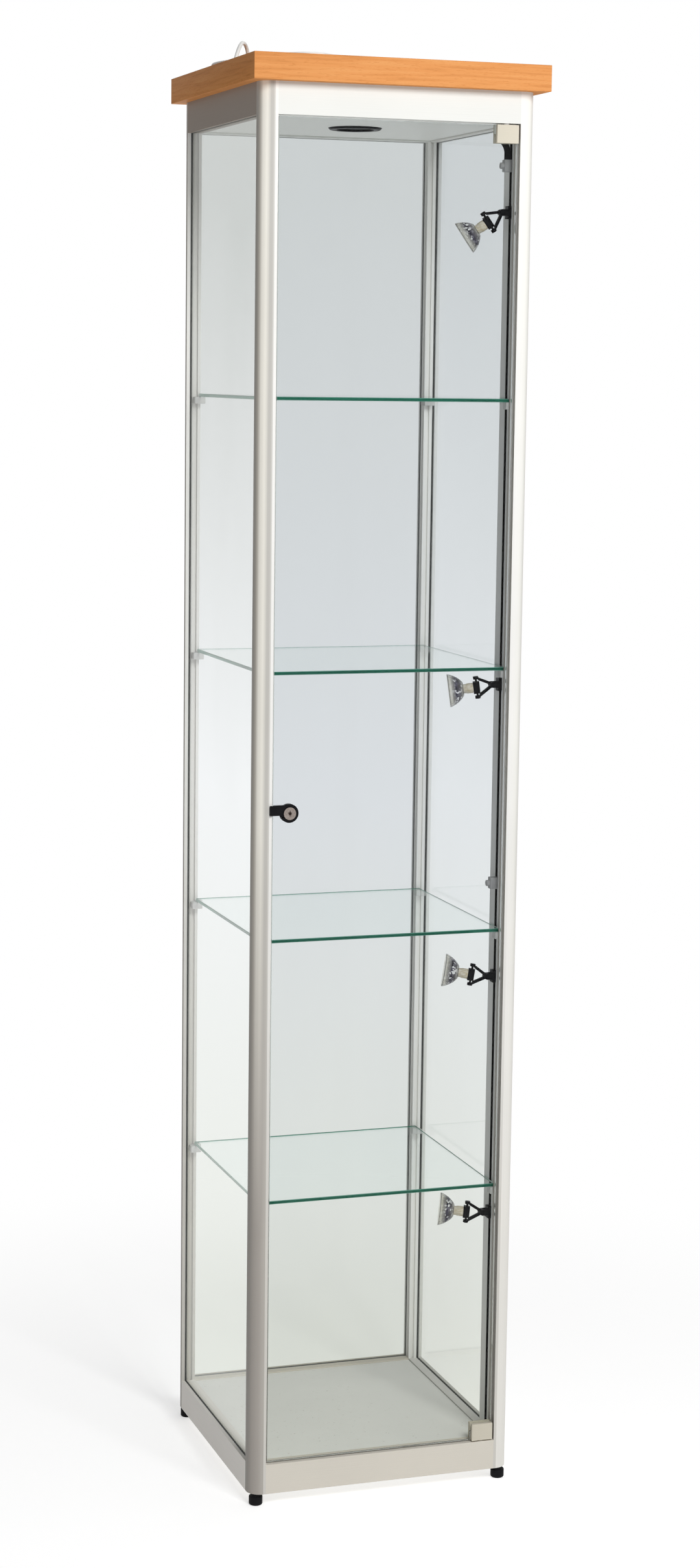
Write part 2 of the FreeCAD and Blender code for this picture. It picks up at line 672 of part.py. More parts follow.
def hinge_notch(name, at_top):
    outer, way = hinge_end(at_top)
    height = "hinge_head + hinge_play"
    return middle_box(name, ("hinge_cap_width + hinge_play", "door_thickness", height),
                      ("door_right - (hinge_cap_width + hinge_play) / 2", "door_middle",
                       f"{outer} + {way} * ({height}) / 2"))


door_blank = middle_box("door_blank", ("door_width", "door_thickness", "door_height"),
                        ("0", "door_middle", "door_bottom + door_height / 2"))
lock_hole = rod("lock_hole", "barrel_radius + barrel_clearance", "door_thickness",
                ("lock_x", "door_front", "lock_height"), Y_AXIS)
hinge_notches = [hinge_notch("upper_notch", True), hinge_notch("lower_notch", False)]
node(cut("door_cut", door_blank, *hinge_notches, lock_hole), "door_glass")
node(make_hinge_cap("upper_cap", True), "hinge_cap_top")
node(make_hinge_cap("lower_cap", False), "hinge_cap_bottom")
keeper = box("keeper", ("keeper_seat + keeper_reach", "keeper_thickness", "keeper_height"),
             ("-half_width + post_width - keeper_seat", "-half_depth + post_width",
              "lock_height - keeper_height / 2"))
hinge_pins = [make_hinge_pin("upper_pin", True), make_hinge_pin("lower_pin", False)]
node(group("pins_and_keeper", [*hinge_pins, keeper]), "door_fittings")


# Lock: body and nut clamp the glass, the plug turns in the body and carries the cam

def lock_rod(name, radius, start, end):
    return rod(name, radius, f"{end} - ({start})", ("lock_x", start, "lock_height"), Y_AXIS)


barrel_end = "door_back + barrel_tail"
tab_left = "-half_width + post_width - tab_lap"
tab_bottom = "lock_height + tab_rise - tab_height / 2"
lock_solid = fuse("lock_solid", [
    lock_rod("lock_bezel", "lock_radius", "lock_front", "door_front"),
    lock_rod("lock_barrel", "barrel_radius", "lock_front", barrel_end),
    box("lock_tab", (f"lock_x - ({tab_left})", "-half_depth - tab_gap - lock_front", "tab_height"),
        (tab_left, "lock_front", tab_bottom)),
    box("lock_tab_root", ("lock_x - door_left", "lock_depth", "tab_height"),
        ("door_left", "lock_front", tab_bottom)),
])
plug_bore = lock_rod("plug_bore", "plug_radius + fit_clearance", "lock_front", barrel_end)
node(cut("lock_bored", lock_solid, plug_bore), "lock_body")
nut_disc = lock_rod("nut_disc", "nut_radius", "door_back", "door_back + nut_thickness")
nut_bore = lock_rod("nut_bore", "barrel_radius + fit_clearance", "door_back", "door_back + nut_thickness")
node(cut("nut_ring", nut_disc, nut_bore), "lock_nut")
plug_face_back = "lock_front - hinge_play"
plug_face_front = f"{plug_face_back} - plug_face_depth"
plug_solid = fuse("plug_solid", [
    lock_rod("plug_face", "plug_face_radius", plug_face_front, plug_face_back),
    lock_rod("plug_shank", "plug_radius", plug_face_front, barrel_end),
    lock_rod("plug_tail", "plug_tail_radius", plug_face_front, "cam_front + cam_thickness"),
])
keyway = middle_box("keyway", ("keyway_width", "2 * plug_face_depth", "keyway_height"),
                    ("lock_x", plug_face_front, "lock_height"))
node(cut("plug_keyed", plug_solid, keyway), "lock_cylinder")
cam_back = "cam_front + cam_thickness"
cam_disc = lock_rod("cam_disc", "cam_width / 2 + plug_tail_radius / 2", "cam_front", cam_back)
cam_bar = box("cam_bar", ("cam_length", "cam_thickness", "cam_width"),
              ("lock_x", "cam_front", "lock_height - cam_width / 2"))
cam_bore = lock_rod("cam_bore", "plug_tail_radius", "cam_front", cam_back)
node(cut("cam_bored", fuse("cam_solid", [cam_disc, cam_bar]), cam_bore), "lock_cam")


# Lighting track behind the right front post, with its black liner, clamps and supply cable

slot_back = "track_slot_inset + track_slot_width"
track_corners = [
    ("0", "0"), ("track_width", "0"), ("track_width", "track_depth"), ("0", "track_depth"),
    ("0", slot_back), ("track_slot_depth", slot_back),
    ("track_slot_depth", "track_slot_inset"), ("0", "track_slot_inset"),
]
track_body, _ = padded("track", "XY_Plane", [track_corners], "inner_height")
node(place(track_body, ("track_face", "track_front", "base_top")), "light_track")
node(box("liner", ("track_liner", "track_slot_width", "inner_height"),
         ("track_face + track_slot_depth - track_liner", "track_front + track_slot_inset", "base_top")),
     "track_liner")


def make_clamp(name, middle_z):
    block = middle_box(f"{name}_block", ("clamp_reach", "clamp_depth", "clamp_height"),
                       ("track_face - clamp_reach / 2", "track_slot_middle", middle_z))
    tongue = middle_box(f"{name}_tongue", ("tongue_length", "tongue_width", "clamp_height"),
                        ("track_face + tongue_length / 2", "track_slot_middle", middle_z))
    screw = rod(f"{name}_screw", "clamp_screw_radius", "clamp_screw_length",
                ("track_face - clamp_reach - clamp_screw_length", "track_slot_middle", middle_z), X_AXIS)
    return fuse(name, [block, tongue, screw])


mid_clamp_middle = f"{shelf_bottom(3)} + shelf_thickness + mid_clamp_rise"
node(group("both_clamps", [make_clamp("feed_clamp", "feed_clamp_top - clamp_height / 2"),
                           make_clamp("mid_clamp", mid_clamp_middle)]), "track_clamps")


def swept_tube(name, edges, start, heading, radius):
    """A round tube along edges that run on smoothly from the start, first along the heading."""
    path = Part.Wire(edges)
    ring = Part.Wire(Part.makeCircle(radius, start, heading))
    obj = doc.addObject("Part::Feature", name)
    obj.Shape = path.makePipeShell([ring], True, False)
    share = obj.Shape.Volume / (math.pi * radius * radius * path.Length)
    print(f"{name}: length {path.Length:.1f} mm, volume {share:.4f} of section times length")
    return obj


def rounded_route(name, points, share=0.45):
    """Straight runs joined by tangent arcs, each as large as its two runs allow."""
    edges, radii = [], []
    here = points[0]
    for before, corner, after in zip(points, points[1:], points[2:]):
        run_in, run_out = corner - before, after - corner
        half_turn = run_in.getAngle(run_out) / 2
        reach = share * min(run_in.Length, run_out.Length)
        radius = reach / math.tan(half_turn)
        to_before = (before - corner).normalize()
        to_after = (after - corner).normalize()
        enter, leave = corner + to_before * reach, corner + to_after * reach
        inside = (to_before + to_after).normalize()
        crown = corner + inside * (radius / math.cos(half_turn) - radius)
        edges.append(Part.LineSegment(here, enter).toShape())
        edges.append(Part.Arc(enter, crown, leave).toShape())
        radii.append(radius)
        here = leave
    edges.append(Part.LineSegment(here, points[-1]).toShape())
    print(f"{name}: radii", ", ".join(f"{radius:.0f}" for radius in radii))
    return edges


feed_top = vector("feed_x - feed_offset", "track_slot_middle", "ceiling_bottom")
feed_end = vector("feed_x", "track_slot_middle", "feed_clamp_top")
feed_drop = FreeCAD.Vector(0, 0, -2 * number("feed_lead"))
feed_edges = rounded_route("feed cable", [feed_top, feed_top + feed_drop, feed_end - feed_drop, feed_end])
node(swept_tube("feed_tube", feed_edges, feed_top, feed_drop, number("feed_radius")), "feed_cable")


# Spot lamps: a clip in the track, a yoke that tilts on it, a holder that pans in the yoke, a bulb

def lamp_pivot(index):
    drops = {
        1: "head_bottom - lamp_1_drop", 2: f"{shelf_bottom(2)} - lamp_2_drop",
        3: f"{shelf_bottom(3)} - lamp_3_drop", 4: f"{shelf_bottom(4)} - lamp_4_drop",
    }
    return ("track_face - lamp_reach", "track_slot_middle", drops[index])


def make_lamp_clip(index):
    x, y, z = lamp_pivot(index)
    name = f"lamp_clip_{index}"
    pieces = [
        middle_box(f"{name}_foot", ("lamp_base_depth", "lamp_base_width", "lamp_base_height"),
                   ("track_face - lamp_base_depth / 2", y, z)),
        middle_box(f"{name}_tongue", ("tongue_length", "tongue_width", "lamp_base_height"),
                   ("track_face + tongue_length / 2", y, z)),
        rod(f"{name}_pin", "tilt_pin_radius", "2 * (ear_outside)", (x, f"{y} - (ear_outside)", z), Y_AXIS),
    ]
    for side in (-1, 1):
        ear_y = f"{y} + {side} * (ear_inside + ear_thickness / 2)"
        pieces.append(middle_box(
            f"{name}_ear_{side + 1}", ("lamp_reach - lamp_base_depth", "ear_thickness", "2 * ear_radius"),
            (f"{x} + (lamp_reach - lamp_base_depth) / 2", ear_y, z)))
        pieces.append(rod(f"{name}_ear_end_{side + 1}", "ear_radius", "ear_thickness",
                          (x, f"{ear_y} - ear_thickness / 2", z), Y_AXIS))
    return fuse(name, pieces)


def make_yoke(index, placement):
    name = f"yoke_{index}"
    pieces = [rod(f"{name}_hub", "ear_radius", "hub_width", ("0", "-hub_width / 2", "0"), Y_AXIS)]
    holes = [rod(f"{name}_hub_bore", "tilt_pin_radius + fit_clearance", "2 * hub_width",
                 ("0", "-hub_width", "0"), Y_AXIS)]
    slope = math.degrees(math.atan2(number("eye_middle"), number("bar_reach")))
    for side in (-1, 1):
        tag = f"{name}_{'upper' if side > 0 else 'lower'}"
        arm = doc.addObject("Part::Box", f"{tag}_arm")
        bind(arm, "Length", "sqrt(bar_reach ^ 2 + (eye_middle) ^ 2)")
        bind(arm, "Width", "arm_width")
        bind(arm, "Height", "arm_thickness")
        lean = FreeCAD.Rotation(Y_AXIS, 180 + side * slope)
        corner = vector("0", "-arm_width / 2", "arm_inside - arm_thickness" if side > 0 else "-arm_inside")
        arm.Placement = FreeCAD.Placement(lean.multVec(corner), lean)
        pieces.append(arm)
        eye_z = f"{side} * (eye_middle) - eye_thickness / 2"
        pieces.append(rod(f"{tag}_eye", "eye_radius", "eye_thickness", ("-bar_reach", "0", eye_z)))
        hole_z = f"{side} * (eye_middle) - 2 * eye_thickness"
        holes.append(rod(f"{tag}_eye_bore", "pan_pin_radius + fit_clearance", "4 * eye_thickness",
                         ("-bar_reach", "0", hole_z)))
        trim_z = f"{side} * (eye_height - 2 * eye_thickness) - 2 * eye_thickness"
        holes.append(rod(f"{tag}_arm_trim", "eye_radius + knob_play", "4 * eye_thickness - knob_play",
                         ("-bar_reach", "0", trim_z if side > 0 else f"{trim_z} + knob_play")))
        cap_z = "knob_bottom - knob_play" if side > 0 else "-(knob_bottom - knob_play) - 4 * eye_thickness"
        holes.append(rod(f"{tag}_cap_trim", "eye_radius + knob_play", "4 * eye_thickness",
                         ("-bar_reach", "0", cap_z)))
    yoke = cut(f"{name}_bored", fuse(f"{name}_solid", pieces), *holes)
    yoke.Placement = placement
    return node(yoke, f"lamp_yoke_{index}")


def make_holder(index, placement):
    name = f"holder_{index}"
    reach = "knob_bottom + knob_height"
    pieces = [
        rod(f"{name}_bar", "holder_radius", "2 * holder_half", ("0", "0", "-holder_half")),
        rod(f"{name}_pins", "pan_pin_radius", f"2 * ({reach})", ("0", "0", f"-({reach})")),
        box(f"{name}_seat", ("holder_seat", "holder_seat_width", "2 * holder_half"),
            ("-holder_seat", "-holder_seat_width / 2", "-holder_half")),
        rod(f"{name}_upper_knob", "knob_radius", "knob_height", ("0", "0", "knob_bottom")),
        rod(f"{name}_lower_knob", "knob_radius", "knob_height", ("0", "0", f"-({reach})")),
    ]
    holder = fuse(f"{name}_solid", pieces)
    holder.Placement = placement
    return node(holder, f"lamp_holder_{index}")


def make_bulb(index, placement):
    inner_rim = "bulb_radius - bulb_wall"
    profile = [
        ("0", "holder_seat"), ("bulb_base_radius", "holder_seat"),
        ("bulb_base_radius", "bulb_base_end"), ("bulb_neck_radius", "bulb_base_end"),
        ("bulb_radius", "bulb_rim_start"), ("bulb_radius", "bulb_front"),
        (inner_rim, "bulb_front"), (inner_rim, "bulb_rim_start"),
        ("bulb_neck_radius - bulb_wall", "bulb_base_end + bulb_wall"), ("0", "bulb_base_end + bulb_wall"),
    ]
    bulb = turned(f"bulb_{index}", profile, {3: ("bulb_swell", -1), 7: ("bulb_swell - bulb_wall", 1)})
    bulb.Placement = placement
    return node(bulb, f"lamp_bulb_{index}")


node(group("all_lamp_clips", [make_lamp_clip(index) for index in range(1, SHELF_COUNT + 1)]), "lamp_clips")
for lamp in range(1, SHELF_COUNT + 1):
    tilt = FreeCAD.Rotation(Y_AXIS, number(f"lamp_{lamp}_tilt"))
    pan = FreeCAD.Rotation(Z_AXIS, -number("lamp_pan"))
    yoke_place = FreeCAD.Placement(vector(*lamp_pivot(lamp)), tilt)
    head_place = yoke_place * FreeCAD.Placement(vector("-bar_reach", "0", "0"), pan)
    make_yoke(lamp, yoke_place)
    make_holder(lamp, head_place)
    make_bulb(lamp, head_place * FreeCAD.Placement(FreeCAD.Vector(), FreeCAD.Rotation(Y_AXIS, -90)))


# Ceiling light and the transformer above the ceiling

trim_bottom = "ceiling_bottom - trim_height"
trim = turned("trim", [
    ("trim_bore", trim_bottom), ("trim_radius - trim_height", trim_bottom), ("trim_radius", "ceiling_bottom"),
    ("trim_bore", "ceiling_bottom"),
])
node(trim, "downlight_trim")
can_inside = "can_radius - can_wall"
can = turned("can", [
    (can_inside, "ceiling_bottom"), ("can_radius", "ceiling_bottom"),
    ("can_radius", "ceiling_bottom + can_height"), ("0", "ceiling_bottom + can_height"),
    ("0", "ceiling_bottom + can_height - can_wall"), (can_inside, "ceiling_bottom + can_height - can_wall"),
])
node(can, "downlight_can")
bulb_top = "ceiling_bottom + can_height - can_wall"
ceiling_bulb = turned("ceiling_bulb", [
    ("0", f"{bulb_top} - downlight_bulb_height"),
    ("downlight_bulb_radius", f"{bulb_top} - downlight_bulb_height"),
    ("downlight_bulb_radius", f"{bulb_top} - downlight_bulb_height + bulb_rim"),
    ("bulb_neck_radius", bulb_top), ("0", bulb_top),
])
node(ceiling_bulb, "downlight_bulb")
transformer_y = "half_depth - post_width - panel_gap - transformer_setback - transformer_width / 2"
node(middle_box("transformer_case", ("transformer_length", "transformer_width", "transformer_height"),
                ("0", transformer_y, "ceiling_top + transformer_height / 2")), "transformer")


# Mains lead: a strain relief in the board, a free stretch, and the rest wound into a coil with its plug

lead_radius = number("lead_radius")
lead_points = [FreeCAD.Vector(x, y, number("lead_z") + rise) for x, y, rise in LEAD_ROUTE]
lead_start, lead_end = lead_points[0], lead_points[-1]
relief_bottom = "-relief_depth"
relief_tip = f"{lead_start.z} - board_top"
relief = turned("relief", [
    ("0", relief_bottom), ("relief_radius", relief_bottom), ("relief_radius", "0"),
    ("relief_flange_radius", "0"), ("relief_flange_radius", "relief_flange"),
    ("relief_radius", "relief_flange"), ("relief_tip_radius", relief_tip), ("0", relief_tip),
])
node(place(relief, (*map(str, LEAD_EXIT), "board_top")), "lead_relief")
lead_edges = rounded_route("mains lead", lead_points)
node(swept_tube("lead_tube", lead_edges, lead_start, Z_AXIS, lead_radius), "mains_lead")

# The coil winds inward on the board, climbs a layer where it turns back, and winds outward on top.
# It starts and ends on its left, straight along Y.
coil_step = number("coil_step")
coil_outer_radius = number("coil_outer_radius")
coil_lead_in = Y_AXIS * (2 * lead_radius)
coil_tail = Y_AXIS * number("coil_tail")
coil_start = lead_end + coil_lead_in
coil_centre = coil_start + X_AXIS * coil_outer_radius
coil_turns = 2 * COIL_TURNS_PER_LAYER
CLIMB_TURNS = 0.5
TURN_PARTS = 4


def coil_point(turn):
    """The coil's middle line after so many turns from its lower outer end."""
    past_middle = turn - COIL_TURNS_PER_LAYER
    half_climb = CLIMB_TURNS / 2
    if abs(past_middle) >= half_climb:
        outward = abs(past_middle) - half_climb / 2
        climb = 0 if past_middle < 0 else 1
    else:
        outward = past_middle ** 2 / CLIMB_TURNS
        share = past_middle / CLIMB_TURNS + 0.5
        climb = share * share * (3 - 2 * share)
    inner_radius = coil_outer_radius - coil_step * (COIL_TURNS_PER_LAYER - half_climb / 2)
    radius = inner_radius + coil_step * outward
    angle = math.pi - 2 * math.pi * turn
    return coil_centre + FreeCAD.Vector(radius * math.cos(angle), radius * math.sin(angle), coil_step * climb)


def coil_heading(turn):
    if turn in (0, coil_turns):
        return Y_AXIS
    nudge = 1e-4
    return (coil_point(turn + nudge) - coil_point(turn - nudge)).normalize()


def arc_crown(start, heading, end):
    """The middle of the arc that leaves start along heading and ends at end."""
    chord = end - start
    along = FreeCAD.Vector(chord).normalize()
    side = (heading - along * heading.dot(along)).normalize()
    return (start + end) * 0.5 + side * (chord.Length / 2 * math.tan(heading.getAngle(chord) / 2))


def biarc(start, leave, end, arrive):
    """Two tangent arcs from start, heading leave, to end, heading arrive."""
    gap = end - start
    across = gap.dot(leave + arrive)
    spread = 2 * (1 - leave.dot(arrive))
    reach = (math.sqrt(across * across + spread * gap.dot(gap)) - across) / spread
    join = (start + leave * reach + end - arrive * reach) * 0.5
    first = Part.Arc(start, arc_crown(start, leave, join), join)
    second = Part.Arc(join, arc_crown(end, -arrive, join), end)
    return [first.toShape(), second.toShape()]


def least_coil_gap(samples_per_turn=60):
    """The least gap between two stretches of the coil that are half a turn or more apart."""
    points = [coil_point(i / samples_per_turn) for i in range(coil_turns * samples_per_turn + 1)]
    apart = samples_per_turn // 2
    least = min((a - b).Length for i, a in enumerate(points) for b in points[i + apart:])
    return least - 2 * lead_radius


coil_edges = [Part.LineSegment(lead_end, coil_start).toShape()]
for part in range(coil_turns * TURN_PARTS):
    turns = part / TURN_PARTS, (part + 1) / TURN_PARTS
    ends = [(coil_point(turn), coil_heading(turn)) for turn in turns]
    coil_edges += biarc(*ends[0], *ends[1])
coil_end = coil_point(coil_turns)
plug_start = coil_end + coil_tail
coil_edges.append(Part.LineSegment(coil_end, plug_start).toShape())
node(swept_tube("coil_tube", coil_edges, lead_end, Y_AXIS, lead_radius), "lead_coil")
print(f"lead_coil: least gap to itself {least_coil_gap():.2f} mm")

# A flat tie goes round all the turns on the coil's right.
tie_inside = coil_outer_radius - coil_step * (COIL_TURNS_PER_LAYER - CLIMB_TURNS / 4) - lead_radius
tie_low = f"{lead_end.z} - lead_radius - tie_gap"
tie_opening = (f"coil_outer_radius + lead_radius - {tie_inside} + 2 * tie_gap", "tie_width",
               "coil_step + 2 * lead_radius + 2 * tie_gap")
tie_middle = (f"{coil_centre.x + tie_inside} - tie_gap + ({tie_opening[0]}) / 2", str(coil_centre.y),
              f"{tie_low} + ({tie_opening[2]}) / 2")
tie_band = middle_box("tie_band", (f"{tie_opening[0]} + 2 * tie_thickness", "tie_width",
                                   f"{tie_opening[2]} + 2 * tie_thickness"), tie_middle)
node(cut("tie_ring", tie_band, middle_box("tie_opening", tie_opening, tie_middle)), "coil_tie")

# The plug lies on the board at the end of the coil, a two-pin one.
plug_x, plug_y, plug_z = (str(value) for value in plug_start)
plug_body_y = f"{plug_y} + sleeve_length"
plug_face_y = f"{plug_body_y} + mains_plug_length"
sleeve = cone("plug_sleeve", ("sleeve_tip_radius", "sleeve_radius"), "sleeve_length",
              (plug_x, plug_y, plug_z), Y_AXIS)
plug_size = ("mains_plug_width", "mains_plug_length", f"2 * ({plug_z} - board_top)")
plug_middle = (plug_x, f"{plug_body_y} + mains_plug_length / 2", plug_z)
plug_block = middle_box("plug_block", plug_size, plug_middle)
node(fuse("plug_solid_body", [sleeve, plug_block]), "mains_plug")
prongs = [
    rod(f"prong_{name}", "prong_radius", "prong_length",
        (f"{plug_x} + {way} * prong_spacing / 2", plug_face_y, plug_z), Y_AXIS)
    for name, way in (("left", -1), ("right", 1))
]
node(group("both_prongs", prongs), "plug_pins")


# Check every object, then write one file for each piece

doc.recompute()
faulty = [obj.Label for obj in doc.Objects if {"Invalid", "Error"} & set(obj.State)]
faulty += [obj.Label for obj in nodes if obj.Shape.isNull() or not obj.Shape.isValid()]
if faulty:
    raise RuntimeError(f"not sound: {', '.join(faulty)}")
os.makedirs("parts", exist_ok=True)
for obj in nodes:
    obj.Shape.exportStep(f"parts/{obj.Label}.step")
print(f"{len(nodes)} pieces written")
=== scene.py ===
import json
import math

import bmesh
import bpy
from mathutils import Matrix, Vector


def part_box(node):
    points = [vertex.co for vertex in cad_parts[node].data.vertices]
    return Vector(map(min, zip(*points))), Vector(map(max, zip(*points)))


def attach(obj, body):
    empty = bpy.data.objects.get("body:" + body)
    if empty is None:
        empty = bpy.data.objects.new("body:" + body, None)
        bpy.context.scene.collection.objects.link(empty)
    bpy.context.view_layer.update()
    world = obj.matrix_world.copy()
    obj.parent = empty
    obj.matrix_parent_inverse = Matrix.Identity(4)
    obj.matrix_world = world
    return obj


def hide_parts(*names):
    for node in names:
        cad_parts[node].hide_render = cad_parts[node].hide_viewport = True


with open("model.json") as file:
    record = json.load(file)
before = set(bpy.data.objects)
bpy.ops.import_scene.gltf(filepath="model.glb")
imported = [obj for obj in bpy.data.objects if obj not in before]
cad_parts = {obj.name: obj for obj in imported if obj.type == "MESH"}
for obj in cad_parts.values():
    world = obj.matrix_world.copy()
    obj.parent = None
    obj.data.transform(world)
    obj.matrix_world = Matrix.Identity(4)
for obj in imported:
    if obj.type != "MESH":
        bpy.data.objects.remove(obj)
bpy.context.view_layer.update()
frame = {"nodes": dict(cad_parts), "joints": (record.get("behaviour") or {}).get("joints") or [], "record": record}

MM = 0.001
nodes = frame["nodes"]
members_of_body = frame["record"]["behaviour"]["bodies"]
body_of_node = {node: body for body, members in members_of_body.items() for node in members}
joints = {joint["name"]: joint for joint in frame["joints"]}
LAMPS = (1, 2, 3, 4)
SHELVES = (1, 2, 3, 4)


# Camera, at the photograph's place

IMAGE_HEIGHT = 2420
FOCAL_PIXELS = 4502.4
SENSOR_SIZE = 36.0
CAMERA_PLACE = Vector((-1.3574, -4.0545, 1.6306))
CAMERA_YAW = math.radians(18.58)
CAMERA_PITCH = math.radians(-8.106)
CAMERA_ROLL = math.radians(0.749)


def add_camera():
    data = bpy.data.cameras.new("camera")
    data.sensor_width = SENSOR_SIZE
    data.lens = FOCAL_PIXELS / IMAGE_HEIGHT * SENSOR_SIZE
    ahead = Vector((math.sin(CAMERA_YAW) * math.cos(CAMERA_PITCH),
                    math.cos(CAMERA_YAW) * math.cos(CAMERA_PITCH), math.sin(CAMERA_PITCH)))
    level = Vector((math.cos(CAMERA_YAW), -math.sin(CAMERA_YAW), 0))
    upright = level.cross(ahead)
    right = math.cos(CAMERA_ROLL) * level + math.sin(CAMERA_ROLL) * upright
    up = -math.sin(CAMERA_ROLL) * level + math.cos(CAMERA_ROLL) * upright
    turn = Matrix((right, up, -ahead)).transposed().to_4x4()
    camera = bpy.data.objects.new("camera", data)
    camera.matrix_world = Matrix.Translation(CAMERA_PLACE) @ turn
    bpy.context.scene.collection.objects.link(camera)
    bpy.context.scene.camera = camera


# Node trees

WHITE, BLACK = (1, 1, 1), (0, 0, 0)
FULL_HEIGHT = 2.0
# The range that a noise mostly keeps to
NOISE_LOW, NOISE_HIGH = 0.3, 0.7
# Sockets of a Mix node of colours, which can't be told apart by their names
MIX_FIRST, MIX_SECOND, MIX_RESULT = 6, 7, 2


class Tree:
    """Short ways to build a node tree. A socket's name is written with _ for a blank,
    and a socket takes a number, a colour, a vector or another node's socket."""

    def __init__(self, node_tree):
        self.nodes = node_tree.nodes
        self.links = node_tree.links

    def give(self, socket, value):
        if isinstance(value, bpy.types.NodeSocket):
            self.links.new(value, socket)
        elif socket.type == "RGBA":
            socket.default_value = (*value, 1)
        else:
            socket.default_value = value

    def set_inputs(self, node, inputs):
        for socket, value in inputs.items():
            self.give(node.inputs[socket.replace("_", " ")], value)

    def add(self, kind, **inputs):
        node = self.nodes.new(kind)
        self.set_inputs(node, inputs)
        return node

    def place(self, stretch=(1, 1, 1)):
        """Object coordinates, in metres, scaled by each axis."""
        where = self.nodes.new("ShaderNodeTexCoord").outputs["Object"]
        return self.add("ShaderNodeMapping", Vector=where, Scale=stretch).outputs["Vector"]

    def noise(self, scale, stretch=(1, 1, 1), detail=4.0, roughness=0.5, distortion=0.0):
        return self.add("ShaderNodeTexNoise", Vector=self.place(stretch), Scale=scale, Detail=detail,
                        Roughness=roughness, Distortion=distortion).outputs["Fac"]

    def ramp(self, factor, *stops):
        node = self.add("ShaderNodeValToRGB", Fac=factor)
        for _ in range(len(stops) - len(node.color_ramp.elements)):
            node.color_ramp.elements.new(0.5)
        for element, (position, colour) in zip(node.color_ramp.elements, stops):
            element.position = position
            element.color = (*colour, 1)
        return node.outputs["Color"]

    def between(self, noise, first, second):
        """From one colour to the other, over the range that a noise mostly keeps to."""
        return self.ramp(noise, (NOISE_LOW, first), (NOISE_HIGH, second))

    def span(self, factor, low, high):
        """A factor of 0 to 1 taken to a range."""
        return self.add("ShaderNodeMapRange", Value=factor, To_Min=low, To_Max=high).outputs["Result"]

    def share(self, value, low, high):
        """A range taken to 0 to 1."""
        return self.add("ShaderNodeMapRange", Value=value, From_Min=low, From_Max=high).outputs["Result"]

    def mix(self, kind, factor, first, second):
        node = self.nodes.new("ShaderNodeMix")
        node.data_type = "RGBA"
        node.blend_type = kind
        for socket, value in (("Factor", factor), (MIX_FIRST, first), (MIX_SECOND, second)):
            self.give(node.inputs[socket], value)
        return node.outputs[MIX_RESULT]

    def blend(self, factor, first, second):
        return self.mix("MIX", factor, first, second)

    def times(self, first, second):
        return self.mix("MULTIPLY", 1, first, second)

    def math(self, operation, *values):
        node = self.nodes.new("ShaderNodeMath")
        node.operation = operation
        for socket, value in zip(node.inputs, values):
            self.give(socket, value)
        return node.outputs["Value"]

    def parts(self, vector):
        """The X, Y and Z of a vector."""
        return self.add("ShaderNodeSeparateXYZ", Vector=vector).outputs

    def axis(self, output, axis):
        """One coordinate of the surface: of its normal or of its place."""
        return self.parts(self.nodes.new("ShaderNodeNewGeometry").outputs[output])[axis]

    def height(self):
        """The surface's height over the floor, as a share of FULL_HEIGHT."""
        return self.math("MULTIPLY", self.axis("Position", "Z"), 1 / FULL_HEIGHT)

    def faces(self, axis, least):
        """1 where the surface faces along an axis, either way, by more than this."""
        return self.math("GREATER_THAN", self.math("ABSOLUTE", self.axis("True Normal", axis)), least)

    def seen(self):
        """1 for rays that show the background: to the camera, mirrored, or through glass."""
        path = self.nodes.new("ShaderNodeLightPath").outputs
        either = self.math("MAXIMUM", path["Is Camera Ray"], path["Is Glossy Ray"])
        return self.math("MAXIMUM", either, path["Is Transmission Ray"])


class Material(Tree):
    """A material with one Principled shader."""

    def __init__(self, name, **settings):
        self.material = bpy.data.materials.new(name)
        self.material.use_nodes = True
        super().__init__(self.material.node_tree)
        self.shader = self.nodes["Principled BSDF"]
        self.feed(**settings)

    def feed(self, **inputs):
        self.set_inputs(self.shader, inputs)
        return self.material

    def bump(self, height, strength, distance):
        bumped = self.add("ShaderNodeBump", Height=height, Strength=strength, Distance=distance)
        self.feed(Normal=bumped.outputs["Normal"])

    def swap_in(self, factor, other):
        """Another shader in place of the Principled one, where the factor is 1."""
        mixed = self.nodes.new("ShaderNodeMixShader")
        for socket, value in zip(mixed.inputs, (factor, self.shader.outputs["BSDF"], other)):
            self.links.new(value, socket)
        self.links.new(mixed.outputs["Shader"], self.nodes["Material Output"].inputs["Surface"])
        return self.material


# Materials

def grained(along, fine, coarse):
    """A stretch that draws a texture out along one axis."""
    return tuple(coarse if axis == along else fine for axis in "xyz")


def scaled(colour, factor):
    return tuple(factor * part for part in colour)


# Low, so that the white studio doesn't wash out the tones of painted light and shade
METAL_SHINE = 0.03
LINE_SHARE = 0.4


def anodised(name, along, colour, tone=None):
    """Satin anodised aluminium with fine lines along the extrusion, under a tone of painted light and shade if one
    is given.
    """
    tree = Material(name, Specular_IOR_Level=METAL_SHINE)
    lines = tree.noise(scale=1.0, stretch=grained(along, fine=1400, coarse=6), detail=2)
    cloud = tree.noise(scale=5.0, detail=3)
    mottle = tree.math("MULTIPLY_ADD", lines, LINE_SHARE, tree.math("MULTIPLY", cloud, 1 - LINE_SHARE))
    finish = tree.between(mottle, scaled(colour, 0.93), colour)
    tree.bump(lines, strength=0.08, distance=0.15 * MM)
    return tree.feed(Base_Color=tree.times(finish, tone(tree)) if tone else finish,
                     Roughness=tree.span(cloud, low=0.34, high=0.46))
